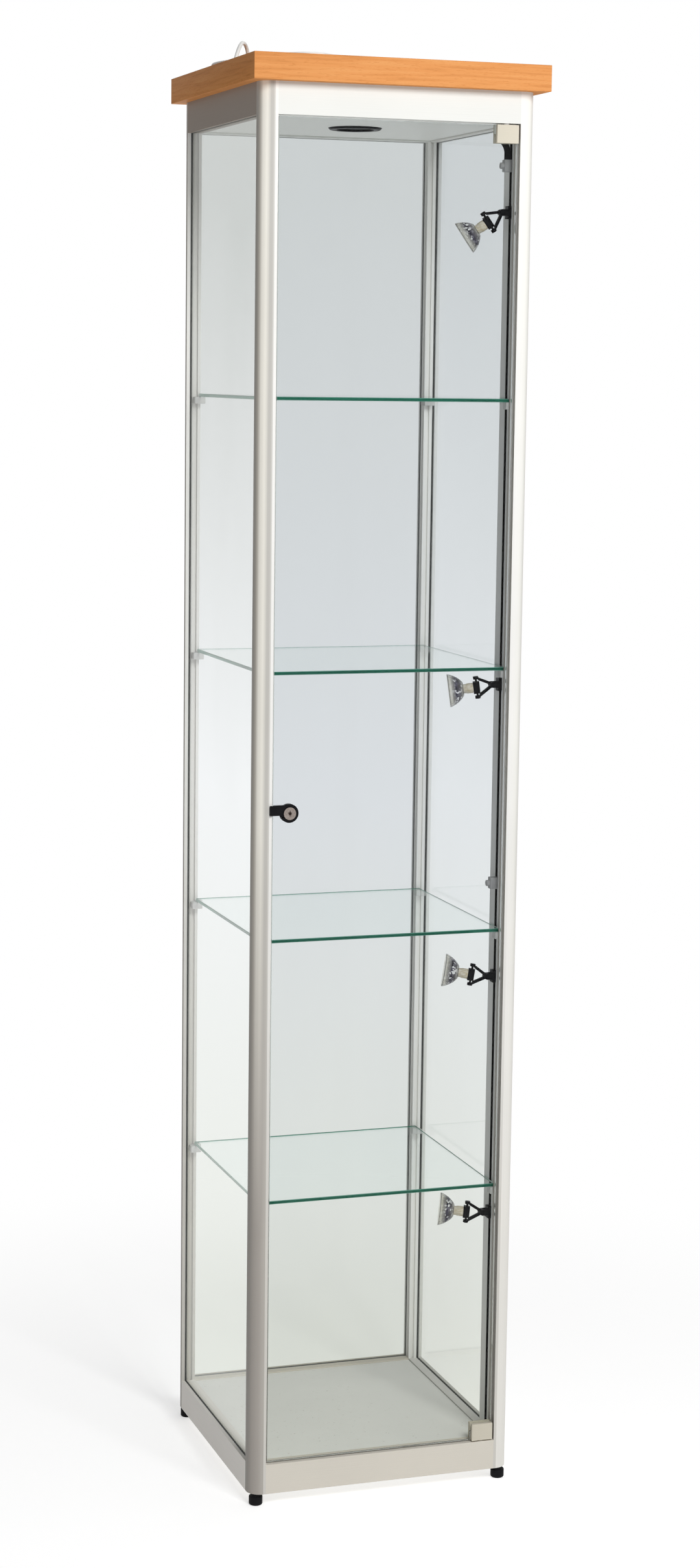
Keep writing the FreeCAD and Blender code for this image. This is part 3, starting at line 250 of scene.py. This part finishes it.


# Painted light and shade over the way that a post's surface faces: 0 left, 0.5 front or rear, 1 right. Up the
# post, bands of painted reflection and shade; lower down, painted shade on the sides that face left
POST_PAINTED_REFLECTIONS = (
    (0.0, (0.50, 0.48, 0.45)), (0.04, (0.62, 0.59, 0.54)), (0.11, (1.0, 0.98, 0.92)),
    (0.23, (1.0, 0.98, 0.92)), (0.35, (0.60, 0.59, 0.57)), (0.43, (0.58, 0.57, 0.55)),
    (0.495, (0.93, 0.93, 0.93)), (0.75, (0.93, 0.93, 0.91)), (0.9, (0.78, 0.78, 0.76)),
    (1.0, (0.93, 0.93, 0.93)),
)
POST_PAINTED_SHADE = (
    (0.0, (0.44, 0.42, 0.40)), (0.1, (0.475, 0.445, 0.42)), (0.3, (0.475, 0.445, 0.42)),
    (0.49, (0.54, 0.52, 0.49)), (0.51, (0.90, 0.89, 0.865)), (0.9, (0.90, 0.89, 0.865)),
)
BANDS_FROM, BANDS_FULL = 0.2, 0.5


def post_painted_sheen(tree):
    """Painted sheen: bands of painted reflection across the rounded side, which fade out towards the floor into
    painted shade on the sides that face left.
    """
    across = tree.share(tree.axis("Normal", "X"), -1, 1)
    banded = tree.ramp(tree.height(), (BANDS_FROM, BLACK), (BANDS_FULL, WHITE))
    return tree.blend(banded, tree.ramp(across, *POST_PAINTED_SHADE), tree.ramp(across, *POST_PAINTED_REFLECTIONS))


BASE_RAIL_LEVEL, TOP_RAIL_LEVEL = 0.05, 0.95


def rail_painted_light(low, high):
    """Painted light and shade: a tone that runs from the base rails to the top rails."""
    def tone(tree):
        return tree.ramp(tree.height(), (BASE_RAIL_LEVEL, low), (TOP_RAIL_LEVEL, high))
    return tone


TRACK_SLOT = (4 * MM, 10 * MM)
TRACK_LIP = 1.6 * MM
SLOT_SHADE_BLACK = (0.015, 0.015, 0.015)


def slot_painted_shade(tree):
    """Painted shade: black inside the track's slot and on its lips."""
    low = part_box("light_track")[0]
    middle = low.y + sum(TRACK_SLOT) / 2
    half = (TRACK_SLOT[1] - TRACK_SLOT[0]) / 2 + TRACK_LIP
    inside = tree.math("COMPARE", tree.parts(tree.place())["Y"], middle, half)
    return tree.blend(inside, WHITE, SLOT_SHADE_BLACK)


def moulded(name, colour, roughness, grain=0.12, shine=0.45):
    """Moulded plastic or rubber with a fine surface grain."""
    tree = Material(name, Specular_IOR_Level=shine)
    grains = tree.noise(scale=900.0, detail=3)
    cloud = tree.noise(scale=40.0, detail=3)
    lighter = tuple(min(1, part + 0.004) for part in scaled(colour, 1.25))
    tree.bump(grains, strength=grain, distance=0.3 * MM)
    return tree.feed(Base_Color=tree.ramp(cloud, (0.35, colour), (0.75, lighter)),
                     Roughness=tree.span(cloud, roughness - 0.06, roughness + 0.08))


def brushed(name, colour, roughness, along="x"):
    """Bare metal with brush lines."""
    tree = Material(name, Metallic=1.0)
    lines = tree.noise(scale=1.0, stretch=grained(along, fine=2600, coarse=60), detail=3)
    tree.bump(lines, strength=0.1, distance=0.1 * MM)
    return tree.feed(Base_Color=tree.between(lines, scaled(colour, 0.82), colour),
                     Roughness=tree.span(lines, roughness - 0.06, roughness + 0.1))


KEYWAY_GRIME = (0.045, 0.03, 0.025)
GRIME_FROM, GRIME_TO = 1.6 * MM, 3.4 * MM
GRIME_SPREAD = 3 * MM


def lock_face():
    """The lock's plug: worn brownish metal, dark round the keyway."""
    tree = Material("lock_plug", Metallic=0.9)
    low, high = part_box("lock_cylinder")
    middle = (low + high) / 2
    place = tree.parts(tree.place())
    across = tree.math("SUBTRACT", place["X"], middle.x)
    up = tree.math("SUBTRACT", place["Z"], middle.z)
    away = tree.math("SQRT", tree.math("ADD", tree.math("POWER", across, 2.0), tree.math("POWER", up, 2.0)))
    grime = tree.noise(scale=420.0, detail=4)
    edge = tree.math("MULTIPLY_ADD", grime, GRIME_SPREAD, tree.math("SUBTRACT", away, GRIME_SPREAD / 2))
    worn = tree.between(grime, (0.26, 0.215, 0.19), (0.38, 0.33, 0.30))
    return tree.feed(Base_Color=tree.blend(tree.share(edge, GRIME_FROM, GRIME_TO), KEYWAY_GRIME, worn),
                     Roughness=tree.span(grime, low=0.3, high=0.5))


SIDE_FACE = 0.6
WOOD_SHINE = 0.01


def beech():
    """Orange beech veneer: grain along the edges, and flecks."""
    tree = Material("beech", Specular_IOR_Level=WOOD_SHINE)
    sideways = tree.faces("X", SIDE_FACE)
    grains = [tree.noise(scale=1.0, stretch=grained(along, fine=230, coarse=9), detail=6, distortion=0.6)
              for along in "xy"]
    flecks = [tree.noise(scale=1.0, stretch=grained(along, fine=1500, coarse=120), detail=2)
              for along in "xy"]
    grain, fleck = (
        tree.add("ShaderNodeMix", Factor=sideways, A=pair[0], B=pair[1]).outputs["Result"]
        for pair in (grains, flecks))
    tone = tree.ramp(grain, (0.25, (0.58, 0.235, 0.075)), (0.5, (0.71, 0.30, 0.10)),
                     (0.75, (0.75, 0.345, 0.125)))
    spots = tree.ramp(fleck, (0.60, WHITE), (0.70, (0.86, 0.78, 0.70)))
    tree.bump(grain, strength=0.1, distance=0.2 * MM)
    return tree.feed(Base_Color=tree.times(tone, spots), Roughness=tree.span(fleck, low=0.38, high=0.5))


def melamine():
    """Pale grey-white panel with a little soiling."""
    tree = Material("melamine", Specular_IOR_Level=0.4)
    cloud = tree.noise(scale=9.0, detail=6, roughness=0.65)
    specks = tree.noise(scale=260.0, detail=2)
    base = tree.between(cloud, (0.91, 0.91, 0.88), (0.95, 0.95, 0.92))
    marks = tree.ramp(specks, (0.69, BLACK), (0.76, WHITE))
    tree.bump(tree.noise(scale=1200.0, detail=2), strength=0.05, distance=0.2 * MM)
    return tree.feed(Base_Color=tree.blend(marks, base, (0.60, 0.58, 0.53)),
                     Roughness=tree.span(cloud, low=0.4, high=0.55))


# Low, so that the white studio doesn't veil what stands behind the panes
PANE_IOR = 1.15
LEVEL_WANDER = 0.12
# The heights of the tints of painted reflection and shade, as shares of FULL_HEIGHT
PAINTED_REFLECTION_LEVELS = (0.06, 0.5, 0.92)
LIGHT_PASSED = (0.995, 0.998, 0.995)


def clear_glass(name, low, middle, top):
    """Clear float glass under painted reflection and shade: three tints, at the floor, the middle and the top,
    with wavering borders.
    Light from the lamps and the studio passes it straight, without refraction."""
    tree = Material(name, Transmission_Weight=1.0, IOR=PANE_IOR, Roughness=0.0)
    wander = tree.noise(scale=2.5, stretch=(1, 1, 0.3), detail=5, roughness=0.6)
    level = tree.math("ADD", tree.height(), tree.span(wander, -LEVEL_WANDER, LEVEL_WANDER))
    tree.feed(Base_Color=tree.ramp(level, *zip(PAINTED_REFLECTION_LEVELS, (low, middle, top))))
    path = tree.nodes.new("ShaderNodeLightPath").outputs
    passing = tree.math("MAXIMUM", path["Is Shadow Ray"], path["Is Diffuse Ray"])
    return tree.swap_in(passing, tree.add("ShaderNodeBsdfTransparent", Color=LIGHT_PASSED).outputs["BSDF"])


FRONT_FACE = -0.5
CHAMFER_FACE = 0.3
EDGE_IOR = 1.3


def shelf_edge():
    """The cut edge of a shelf: deep green in front, with a painted highlight on the lighter chamfers,
    and painted paler where it is seen through the sheet."""
    tree = Material("shelf_edge", Transmission_Weight=0.35, IOR=EDGE_IOR, Roughness=0.12)
    front = tree.math("LESS_THAN", tree.axis("True Normal", "Y"), FRONT_FACE)
    ripple = tree.noise(scale=1.0, stretch=grained("z", fine=14, coarse=900), detail=2)
    core = tree.between(ripple, (0.004, 0.105, 0.06), (0.016, 0.20, 0.125))
    # Painted highlight: the chamfers lighter than the green core
    deep = tree.blend(tree.faces("Z", CHAMFER_FACE), core, (0.20, 0.50, 0.39))
    # Painted light: the edges seen through the sheet paler
    pale = tree.between(ripple, (0.30, 0.52, 0.44), (0.48, 0.68, 0.60))
    return tree.feed(Base_Color=tree.blend(front, pale, deep))


def door_edge():
    """The polished edge of the door: grey with painted shade low down, and lighter with a little green further up.
    """
    tree = Material("door_edge", Transmission_Weight=0.5, IOR=EDGE_IOR, Roughness=0.1)
    ripple = tree.noise(scale=1.0, stretch=grained("z", fine=60, coarse=40), detail=3)
    level = tree.math("ADD", tree.height(), tree.span(ripple, -0.05, 0.05))
    return tree.feed(Base_Color=tree.ramp(level, (0.05, (0.20, 0.20, 0.18)), (0.35, (0.66, 0.71, 0.69))))


# The mirror coat of a reflector over its facets: dark violet, its own colour deepened by painted shade, and bright
# facets that are painted glints; and the coat's share from the base to the rim
COAT_AND_GLINTS = (
    (0.0, (0.010, 0.008, 0.018)), (0.55, (0.045, 0.038, 0.075)), (0.78, (0.20, 0.19, 0.24)),
    (0.84, (0.97, 0.97, 0.98)),
)
COAT_SHARE = ((0.0, (0.1, 0.1, 0.1)), (0.2, (0.8, 0.8, 0.8)), (0.5, WHITE), (0.78, BLACK))


def reflector():
    """Dichroic glass reflector: beige and half see-through,
    with dark violet facets deepened by painted shade and bright facets of painted glints in its middle."""
    tree = Material("reflector", Metallic=0.05, IOR=1.35, Specular_IOR_Level=0.4)
    along = tree.nodes.new("ShaderNodeAttribute")
    along.attribute_name = "along"
    cells = tree.add("ShaderNodeTexVoronoi", Vector=tree.place(), Scale=340.0).outputs["Color"]
    facet = tree.parts(cells)["X"]
    beige = tree.ramp(facet, (0.0, (0.84, 0.82, 0.76)), (1.0, (0.95, 0.94, 0.91)))
    coated = tree.ramp(along.outputs["Fac"], *COAT_SHARE)
    return tree.feed(Base_Color=tree.blend(coated, beige, tree.ramp(facet, *COAT_AND_GLINTS)),
                     Roughness=tree.span(facet, low=0.05, high=0.2),
                     Transmission_Weight=tree.span(coated, low=0.95, high=0.15))


def ceramic():
    """The lamp's base: pale ceramic with yellowish streaks."""
    tree = Material("ceramic", Specular_IOR_Level=0.2)
    streaks = tree.noise(scale=1.0, stretch=grained("x", fine=500, coarse=90), detail=3)
    tree.bump(tree.noise(scale=900.0, detail=3), strength=0.12, distance=0.3 * MM)
    return tree.feed(Base_Color=tree.ramp(streaks, (0.35, (0.57, 0.49, 0.33)), (0.5, (0.66, 0.60, 0.48)),
                                          (0.65, (0.74, 0.70, 0.61))),
                     Roughness=tree.span(streaks, low=0.5, high=0.65))


def lens_glass():
    """The lamp's front lens and its burner: clear and a little rippled."""
    tree = Material("lens_glass", Transmission_Weight=1.0, IOR=1.45)
    ripple = tree.noise(scale=500.0, detail=1)
    tree.bump(ripple, strength=0.1, distance=0.2 * MM)
    return tree.feed(Base_Color=tree.between(ripple, (0.90, 0.90, 0.93), (0.96, 0.96, 0.97)),
                     Roughness=tree.span(ripple, low=0.02, high=0.08))


MATERIALS = {
    "post": anodised("aluminium_post", "z", (0.97, 0.96, 0.93), post_painted_sheen),
    "post_inner": anodised("aluminium_post_inner", "z", (0.97, 0.965, 0.94)),
    # Front and rear rails: painted light, lighter towards the top rails
    "rail_x": anodised("aluminium_rail_x", "x", (0.83, 0.83, 0.80),
                       rail_painted_light((0.92, 0.87, 0.80), (0.98, 0.99, 0.99))),
    # Left rails: lighter than the others at the base, and dark at the top rails under the board, as painted light
    # and shade
    "rail_left": anodised("aluminium_rail_left", "y", (0.95, 0.93, 0.90),
                          rail_painted_light((1, 0.985, 0.96), (0.36, 0.31, 0.27))),
    "rail_right": anodised("aluminium_rail_right", "y", (0.83, 0.82, 0.79)),
    "track": anodised("aluminium_track", "z", (0.88, 0.88, 0.87), slot_painted_shade),
    "clip": anodised("aluminium_clip", "x", (0.66, 0.66, 0.65)),
    # The panes' and shelves' tints, from the floor to the top, are the glass's own colour under painted reflection
    # and shade
    "left_pane": clear_glass("glass_left", (0.978, 1.0, 0.955), (0.99, 1.0, 1.0), (0.664, 0.685, 0.665)),
    "right_pane": clear_glass("glass_right", (0.843, 0.85, 0.826), (0.99, 1.0, 1.0), (0.832, 0.85, 0.868)),
    "rear_pane": clear_glass("glass_rear", (0.80, 0.812, 0.785), (0.896, 0.91, 0.92), (0.832, 0.845, 0.85)),
    "door_pane": clear_glass("glass_door", (0.92, 0.94, 0.89), (0.775, 0.80, 0.82), (0.72, 0.747, 0.747)),
    "shelf": clear_glass("glass_shelf", (0.955, 0.99, 1.0), (0.93, 0.965, 0.95), (0.91, 0.96, 0.935)),
    "shelf_edge": shelf_edge(),
    "door_edge": door_edge(),
    "black": moulded("black_plastic", (0.004, 0.004, 0.005), roughness=0.36, shine=0.08),
    "black_rubber": moulded("black_rubber", (0.006, 0.006, 0.007), roughness=0.55, shine=0.08),
    "grey": moulded("grey_plastic", (0.36, 0.36, 0.365), roughness=0.42, shine=0.3),
    "gasket": moulded("grey_rubber", (0.20, 0.205, 0.20), roughness=0.6),
    "white": moulded("white_plastic", (0.80, 0.80, 0.78), roughness=0.3),
    "cable": moulded("white_cable", (0.74, 0.74, 0.72), roughness=0.4, grain=0.06),
    "ceramic": ceramic(),
    "steel": brushed("steel", (0.62, 0.60, 0.57), roughness=0.28),
    "plug": lock_face(),
    "nickel": anodised("satin_nickel", "x", (0.68, 0.635, 0.53)),
    "can": brushed("can_metal", (0.42, 0.42, 0.43), roughness=0.4, along="z"),
    "beech": beech(),
    "panel": melamine(),
    "reflector": reflector(),
    "lens": lens_glass(),
}

MATERIAL_OF = {
    "post_front_left": "post", "post_front_right": "post", "post_rear_left": "post",
    "post_rear_right": "post_inner",
    "glass_left": "left_pane", "glass_right": "right_pane", "glass_rear": "rear_pane",
    "door_glass": "door_pane", "glass_gaskets": "gasket", "floor_panel": "panel", "ceiling_panel": "panel",
    "top_board": "beech", "shelf_clips": "clip", "feet": "black_rubber", "hinge_cap_top": "nickel",
    "hinge_cap_bottom": "nickel", "door_fittings": "steel", "lock_body": "black", "lock_nut": "black",
    "lock_cylinder": "plug", "lock_cam": "steel", "light_track": "track", "track_liner": "black",
    "track_clamps": "grey", "feed_cable": "black_rubber", "lamp_clips": "black", "downlight_trim": "black",
    "downlight_can": "can", "downlight_bulb": "reflector", "transformer": "grey", "lead_relief": "white",
    "coil_tie": "black", "mains_plug": "white", "plug_pins": "steel", "mains_lead": "cable",
    "lead_coil": "cable",
}
for side, rail in (("front", "rail_x"), ("rear", "rail_x"), ("left", "rail_left"), ("right", "rail_right")):
    MATERIAL_OF[f"base_rail_{side}"] = rail
    MATERIAL_OF[f"top_rail_{side}"] = rail
for lamp in LAMPS:
    MATERIAL_OF[f"lamp_yoke_{lamp}"] = "black"
    MATERIAL_OF[f"lamp_holder_{lamp}"] = "black"
    MATERIAL_OF[f"lamp_bulb_{lamp}"] = "reflector"
for shelf in SHELVES:
    MATERIAL_OF[f"shelf_{shelf}"] = "shelf"
for node, thing in nodes.items():
    thing.data.materials.clear()
    thing.data.materials.append(MATERIALS[MATERIAL_OF[node]])


# Pieces

def add_piece(name, mesh, material, body, replaced=()):
    piece = bpy.data.objects.new(name, mesh)
    bpy.context.scene.collection.objects.link(piece)
    mesh.materials.append(MATERIALS[material])
    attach(piece, body)
    if replaced:
        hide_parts(*replaced)
    return piece


WELD = 0.01 * MM
FLAT_ANGLE = math.radians(0.5)
CORNER_ANGLE = math.radians(35)


def softened(node, width, segments=2):
    """The node's own shape with its sharp edges eased, in the node's place."""
    shape = bmesh.new()
    shape.from_mesh(nodes[node].data)
    bmesh.ops.remove_doubles(shape, verts=shape.verts, dist=WELD)
    bmesh.ops.dissolve_limit(shape, angle_limit=FLAT_ANGLE, verts=shape.verts, edges=shape.edges)
    for face in shape.faces:
        face.smooth = True
    mesh = bpy.data.meshes.new(f"{node}_eased")
    shape.to_mesh(mesh)
    shape.free()
    piece = add_piece(f"{node}_eased", mesh, MATERIAL_OF[node], body_of_node[node],
                      [node])
    bevel = piece.modifiers.new("eased edges", "BEVEL")
    bevel.width = width
    bevel.segments = segments
    bevel.limit_method = "ANGLE"
    bevel.angle_limit = CORNER_ANGLE
    bevel.harden_normals = True
    return piece


DOOR_CHAMFER = 0.5 * MM
SHELF_CHAMFER = 0.9 * MM
SHEET_FACE = 0.5
SHEET_MATERIAL, RIM_MATERIAL = 0, 1


def glazed(node, flat_axis, rim, chamfer):
    """A glass sheet of the node's own shape, its rim chamfered and given the look of a cut edge."""
    piece = softened(node, chamfer, segments=1)
    piece.data.materials.append(MATERIALS[rim])
    for face in piece.data.polygons:
        face.use_smooth = False
        on_rim = abs(face.normal["xyz".index(flat_axis)]) < SHEET_FACE
        face.material_index = RIM_MATERIAL if on_rim else SHEET_MATERIAL
    bevel = piece.modifiers["eased edges"]
    bevel.material = RIM_MATERIAL
    bevel.harden_normals = False


ON_AXIS = 1e-6


def lathe(name, profile, place, ahead, segments, smooth):
    """A mesh turned round an axis from (radius, distance ahead) pairs, in metres.
    Its points carry how far along the axis they lie, from 0 to 1."""
    shape = bmesh.new()
    turn = ahead.to_track_quat("Z", "Y").to_matrix().to_4x4()
    move = Matrix.Translation(place) @ turn
    rings = []
    for radius, distance in profile:
        if radius < ON_AXIS:
            rings.append([shape.verts.new(move @ Vector((0, 0, distance)))])
            continue
        angles = (2 * math.pi * i / segments for i in range(segments))
        rings.append([shape.verts.new(move @ Vector((radius * math.cos(a), radius * math.sin(a), distance)))
                      for a in angles])
    for low, high in zip(rings, rings[1:]):
        for i in range(segments):
            j = (i + 1) % segments
            corners = [low[i % len(low)], low[j % len(low)], high[j % len(high)], high[i % len(high)]]
            shape.faces.new(list(dict.fromkeys(corners)))
    bmesh.ops.recalc_face_normals(shape, faces=shape.faces)
    for face in shape.faces:
        face.smooth = smooth
    mesh = bpy.data.meshes.new(name)
    shape.to_mesh(mesh)
    shape.free()
    if smooth:
        mesh.set_sharp_from_angle(angle=CORNER_ANGLE)
    distances = [distance for _, distance in profile]
    near, far = min(distances), max(distances)
    along = mesh.attributes.new("along", "FLOAT", "POINT")
    for mark, vertex in zip(along.data, mesh.vertices):
        mark.value = ((vertex.co - place).dot(ahead) - near) / (far - near)
    return mesh


def millimetres(*profile):
    return [(radius * MM, distance * MM) for radius, distance in profile]


# Cord: the lead's route and the coil's turns, on one spline

BOARD_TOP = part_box("top_board")[1].z
LEAD_RADIUS = 2.75 * MM
LEAD_LIFT = 0.3 * MM
LEAD_REST = BOARD_TOP + LEAD_LIFT + LEAD_RADIUS
# Across, back, and up from where the lead rests on the board
LEAD_ROUTE = (
    (-0.111, 0.164, 0.007), (-0.111, 0.164, 0.027), (-0.1185, 0.152, 0.044), (-0.130, 0.134, 0.047),
    (-0.141, 0.117, 0.0335), (-0.150, 0.103, 0.0135), (-0.165, 0.084, 0.001), (-0.189, 0.061, 0),
    (-0.206, 0.027, 0), (-0.207, -0.010, 0), (-0.194, -0.046, 0), (-0.178, -0.082, 0), (-0.170, -0.122, 0),
    (-0.157, -0.160, 0), (-0.128, -0.186, 0), (-0.091, -0.172, 0), (-0.073, -0.137, 0), (-0.057, -0.093, 0),
    (-0.041, -0.049, 0.0011), (-0.041, -0.008, 0.0011),
)
LEAD_ROUNDNESS = 4
SPLINE_ORDER = 3
SPLINE_STEPS = 6
COIL_STEP = 6.1 * MM
COIL_OUTER_RADIUS = 41 * MM
COIL_LAYERS = 2
COIL_TURNS_PER_LAYER = 3
COIL_TAIL = 30 * MM
CLIMB_TURNS = 0.5
POINTS_PER_TURN = 24


def coil_point(turn, centre):
    """The coil's middle line after so many turns from its lower outer end."""
    past_middle = turn - COIL_TURNS_PER_LAYER
    half_climb = CLIMB_TURNS / 2
    if abs(past_middle) >= half_climb:
        outward = abs(past_middle) - half_climb / 2
        climb = 0 if past_middle < 0 else 1
    else:
        outward = past_middle ** 2 / CLIMB_TURNS
        share = past_middle / CLIMB_TURNS + 0.5
        climb = share * share * (3 - 2 * share)
    inner_radius = COIL_OUTER_RADIUS - COIL_STEP * (COIL_TURNS_PER_LAYER - half_climb / 2)
    radius = inner_radius + COIL_STEP * outward
    angle = math.pi - 2 * math.pi * turn
    return centre + Vector((radius * math.cos(angle), radius * math.sin(angle), COIL_STEP * climb))


def add_lead():
    points = [Vector((x, y, LEAD_REST + rise)) for x, y, rise in LEAD_ROUTE]
    centre = points[-1] + Vector((COIL_OUTER_RADIUS, 2 * LEAD_RADIUS, 0))
    steps = COIL_LAYERS * COIL_TURNS_PER_LAYER * POINTS_PER_TURN
    points += [coil_point(step / POINTS_PER_TURN, centre) for step in range(steps + 1)]
    points.append(points[-1] + Vector((0, COIL_TAIL, 0)))
    curve = bpy.data.curves.new("mains_lead_cord", "CURVE")
    curve.dimensions = "3D"
    curve.bevel_depth = LEAD_RADIUS
    curve.bevel_resolution = LEAD_ROUNDNESS
    curve.use_fill_caps = True
    spline = curve.splines.new("NURBS")
    spline.points.add(len(points) - 1)
    for control, point in zip(spline.points, points):
        control.co = (*point, 1)
    spline.order_u = SPLINE_ORDER
    spline.use_endpoint_u = True
    spline.resolution_u = SPLINE_STEPS
    lead = bpy.data.objects.new("mains_lead_cord", curve)
    bpy.context.scene.collection.objects.link(lead)
    curve.materials.append(MATERIALS["cable"])
    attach(lead, "cabinet")
    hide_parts("mains_lead", "lead_coil")
    return lead, points[0]


# Spot lamp bulbs: faceted reflector, ceramic base, burner and front lens

LAMP_PAN = math.radians(20)
REFLECTOR_OUTSIDE = millimetres(
    (7.0, 19.1), (9.4, 19.2), (12.4, 21.4), (15.3, 24.2), (18.0, 27.6), (20.4, 31.4), (22.4, 35.2),
    (23.9, 39.0), (24.0, 40.9), (23.2, 40.9))
REFLECTOR_INSIDE = millimetres(
    (22.6, 39.2), (20.9, 35.4), (18.7, 31.6), (16.2, 28.2), (13.3, 25.0), (10.4, 22.4), (7.6, 21.4),
    (3.0, 21.2))
BASE_PROFILE = millimetres(
    (0, 5.1), (6.6, 5.1), (7.3, 5.8), (7.3, 14.4), (6.6, 15.4), (6.6, 19.4), (0, 19.4))
BURNER_PROFILE = millimetres(
    (0, 21.0), (3.0, 21.2), (3.0, 22.5), (2.2, 24.0), (2.2, 29.0), (1.4, 30.6), (0, 31.2))
LENS_PROFILE = millimetres((0, 40.3), (22.9, 39.9), (22.9, 39.3), (0, 39.7))
# Each with its profile, its material, the segments of its turning, and whether it is smooth
BULB_PIECES = (
    ("reflector", REFLECTOR_OUTSIDE + REFLECTOR_INSIDE, "reflector", 28, False),
    ("base", BASE_PROFILE, "ceramic", 40, True),
    ("burner", BURNER_PROFILE, "lens", 24, True),
    ("lens", LENS_PROFILE, "lens", 48, True),
)


def add_bulb(lamp):
    pan = joints[f"lamp_{lamp}_pan"]
    bar = Vector(pan["axis"])
    level = bar.cross(Vector((0, 1, 0)))
    ahead = Matrix.Rotation(-LAMP_PAN, 3, bar) @ level
    place = Vector(pan["pos_m"])
    name = f"lamp_bulb_{lamp}"
    for part, profile, material, segments, smooth in BULB_PIECES:
        mesh = lathe(f"{name}_{part}", profile, place, ahead, segments, smooth)
        replaced = [name] if part == "reflector" else []
        add_piece(f"{name}_{part}", mesh, material, f"lamp_{lamp}_head", replaced)


# Stage

FLOOR_COLOUR = (0.75, 0.75, 0.75)
FLOOR_GLOW = 0.55
FLOOR_BOUNCE = 0.34
FLOOR_HALF = 12.0
FLOOR_WHITE_FROM = 0.4
FLOOR_WHITE_TO = 1.5


def floor_material():
    """Pale floor that keeps the object's shadow close by and turns to the background's white further out."""
    tree = Material("floor", Base_Color=FLOOR_COLOUR, Roughness=0.9, Specular_IOR_Level=0.1,
                    Emission_Color=WHITE)
    seen = tree.seen()
    tree.feed(Emission_Strength=tree.span(seen, FLOOR_BOUNCE, FLOOR_GLOW))
    away = tree.add("ShaderNodeVectorMath", Vector=tree.place())
    away.operation = "LENGTH"
    far = tree.add("ShaderNodeMapRange", Value=away.outputs["Value"], From_Min=FLOOR_WHITE_FROM,
                   From_Max=FLOOR_WHITE_TO)
    far.interpolation_type = "SMOOTHSTEP"
    white = tree.add("ShaderNodeEmission", Color=WHITE, Strength=1.0).outputs["Emission"]
    return tree.swap_in(tree.math("MULTIPLY", far.outputs["Result"], seen), white)


def add_floor():
    mesh = bpy.data.meshes.new("floor")
    corners = [(x * FLOOR_HALF, y * FLOOR_HALF, 0) for x, y in ((-1, -1), (1, -1), (1, 1), (-1, 1))]
    mesh.from_pydata(corners, [], [(0, 1, 2, 3)])
    mesh.materials.append(floor_material())
    floor = bpy.data.objects.new("floor", mesh)
    bpy.context.scene.collection.objects.link(floor)


WORLD_LIGHT_LEFT = 0.06
WORLD_LIGHT_RIGHT = 0.5


def add_world():
    """White background. As a light it is soft and weaker from the left."""
    world = bpy.data.worlds.new("studio")
    bpy.context.scene.world = world
    world.use_nodes = True
    tree = Tree(world.node_tree)
    way = tree.parts(tree.nodes.new("ShaderNodeTexCoord").outputs["Generated"])["X"]
    light = tree.add("ShaderNodeMapRange", Value=way, From_Min=-1, To_Min=WORLD_LIGHT_LEFT,
                     To_Max=WORLD_LIGHT_RIGHT).outputs["Result"]
    strength = tree.add("ShaderNodeMix", Factor=tree.seen(), A=light, B=1.0).outputs["Result"]
    tree.set_inputs(tree.nodes["Background"], {"Color": WHITE, "Strength": strength})


KEY_PLACE = Vector((0.3, -3.0, 3.2))
KEY_TARGET = Vector((0, 0, 1.1))
KEY_SIZE = 1.4
KEY_POWER = 83


def add_key_light():
    """A soft box that isn't mirrored in the shelves and isn't seen through the panes."""
    data = bpy.data.lights.new("key", "AREA")
    data.shape = "SQUARE"
    data.size = KEY_SIZE
    data.energy = KEY_POWER
    light = bpy.data.objects.new("key", data)
    light.visible_glossy = False
    light.visible_transmission = False
    light.location = KEY_PLACE
    light.rotation_euler = (KEY_TARGET - KEY_PLACE).to_track_quat("-Z", "Y").to_euler()
    bpy.context.scene.collection.objects.link(light)


# Build

# Width of the eased edges, in millimetres
EASED = {
    "hinge_cap_top": 1.2, "hinge_cap_bottom": 1.2, "lock_body": 0.9, "lock_cylinder": 0.4, "lamp_clips": 0.5,
    "track_clamps": 1.6, "top_board": 1.0, "lead_relief": 0.6, "mains_plug": 3.0, "plug_pins": 0.8,
    "feet": 1.0, "downlight_trim": 0.8, "shelf_clips": 0.9, "transformer": 1.5, "coil_tie": 0.3,
    "lock_nut": 0.6,
}
for lamp in LAMPS:
    EASED[f"lamp_yoke_{lamp}"] = 0.5
    EASED[f"lamp_holder_{lamp}"] = 0.6

bpy.context.scene.view_settings.view_transform = "Standard"
add_camera()
lead, lead_exit = add_lead()
eased = {node: softened(node, width * MM) for node, width in EASED.items()}
glazed("door_glass", "y", "door_edge", DOOR_CHAMFER)
for shelf in SHELVES:
    glazed(f"shelf_{shelf}", "z", "shelf_edge", SHELF_CHAMFER)
for lamp in LAMPS:
    add_bulb(lamp)

add_floor()
add_world()
add_key_light()
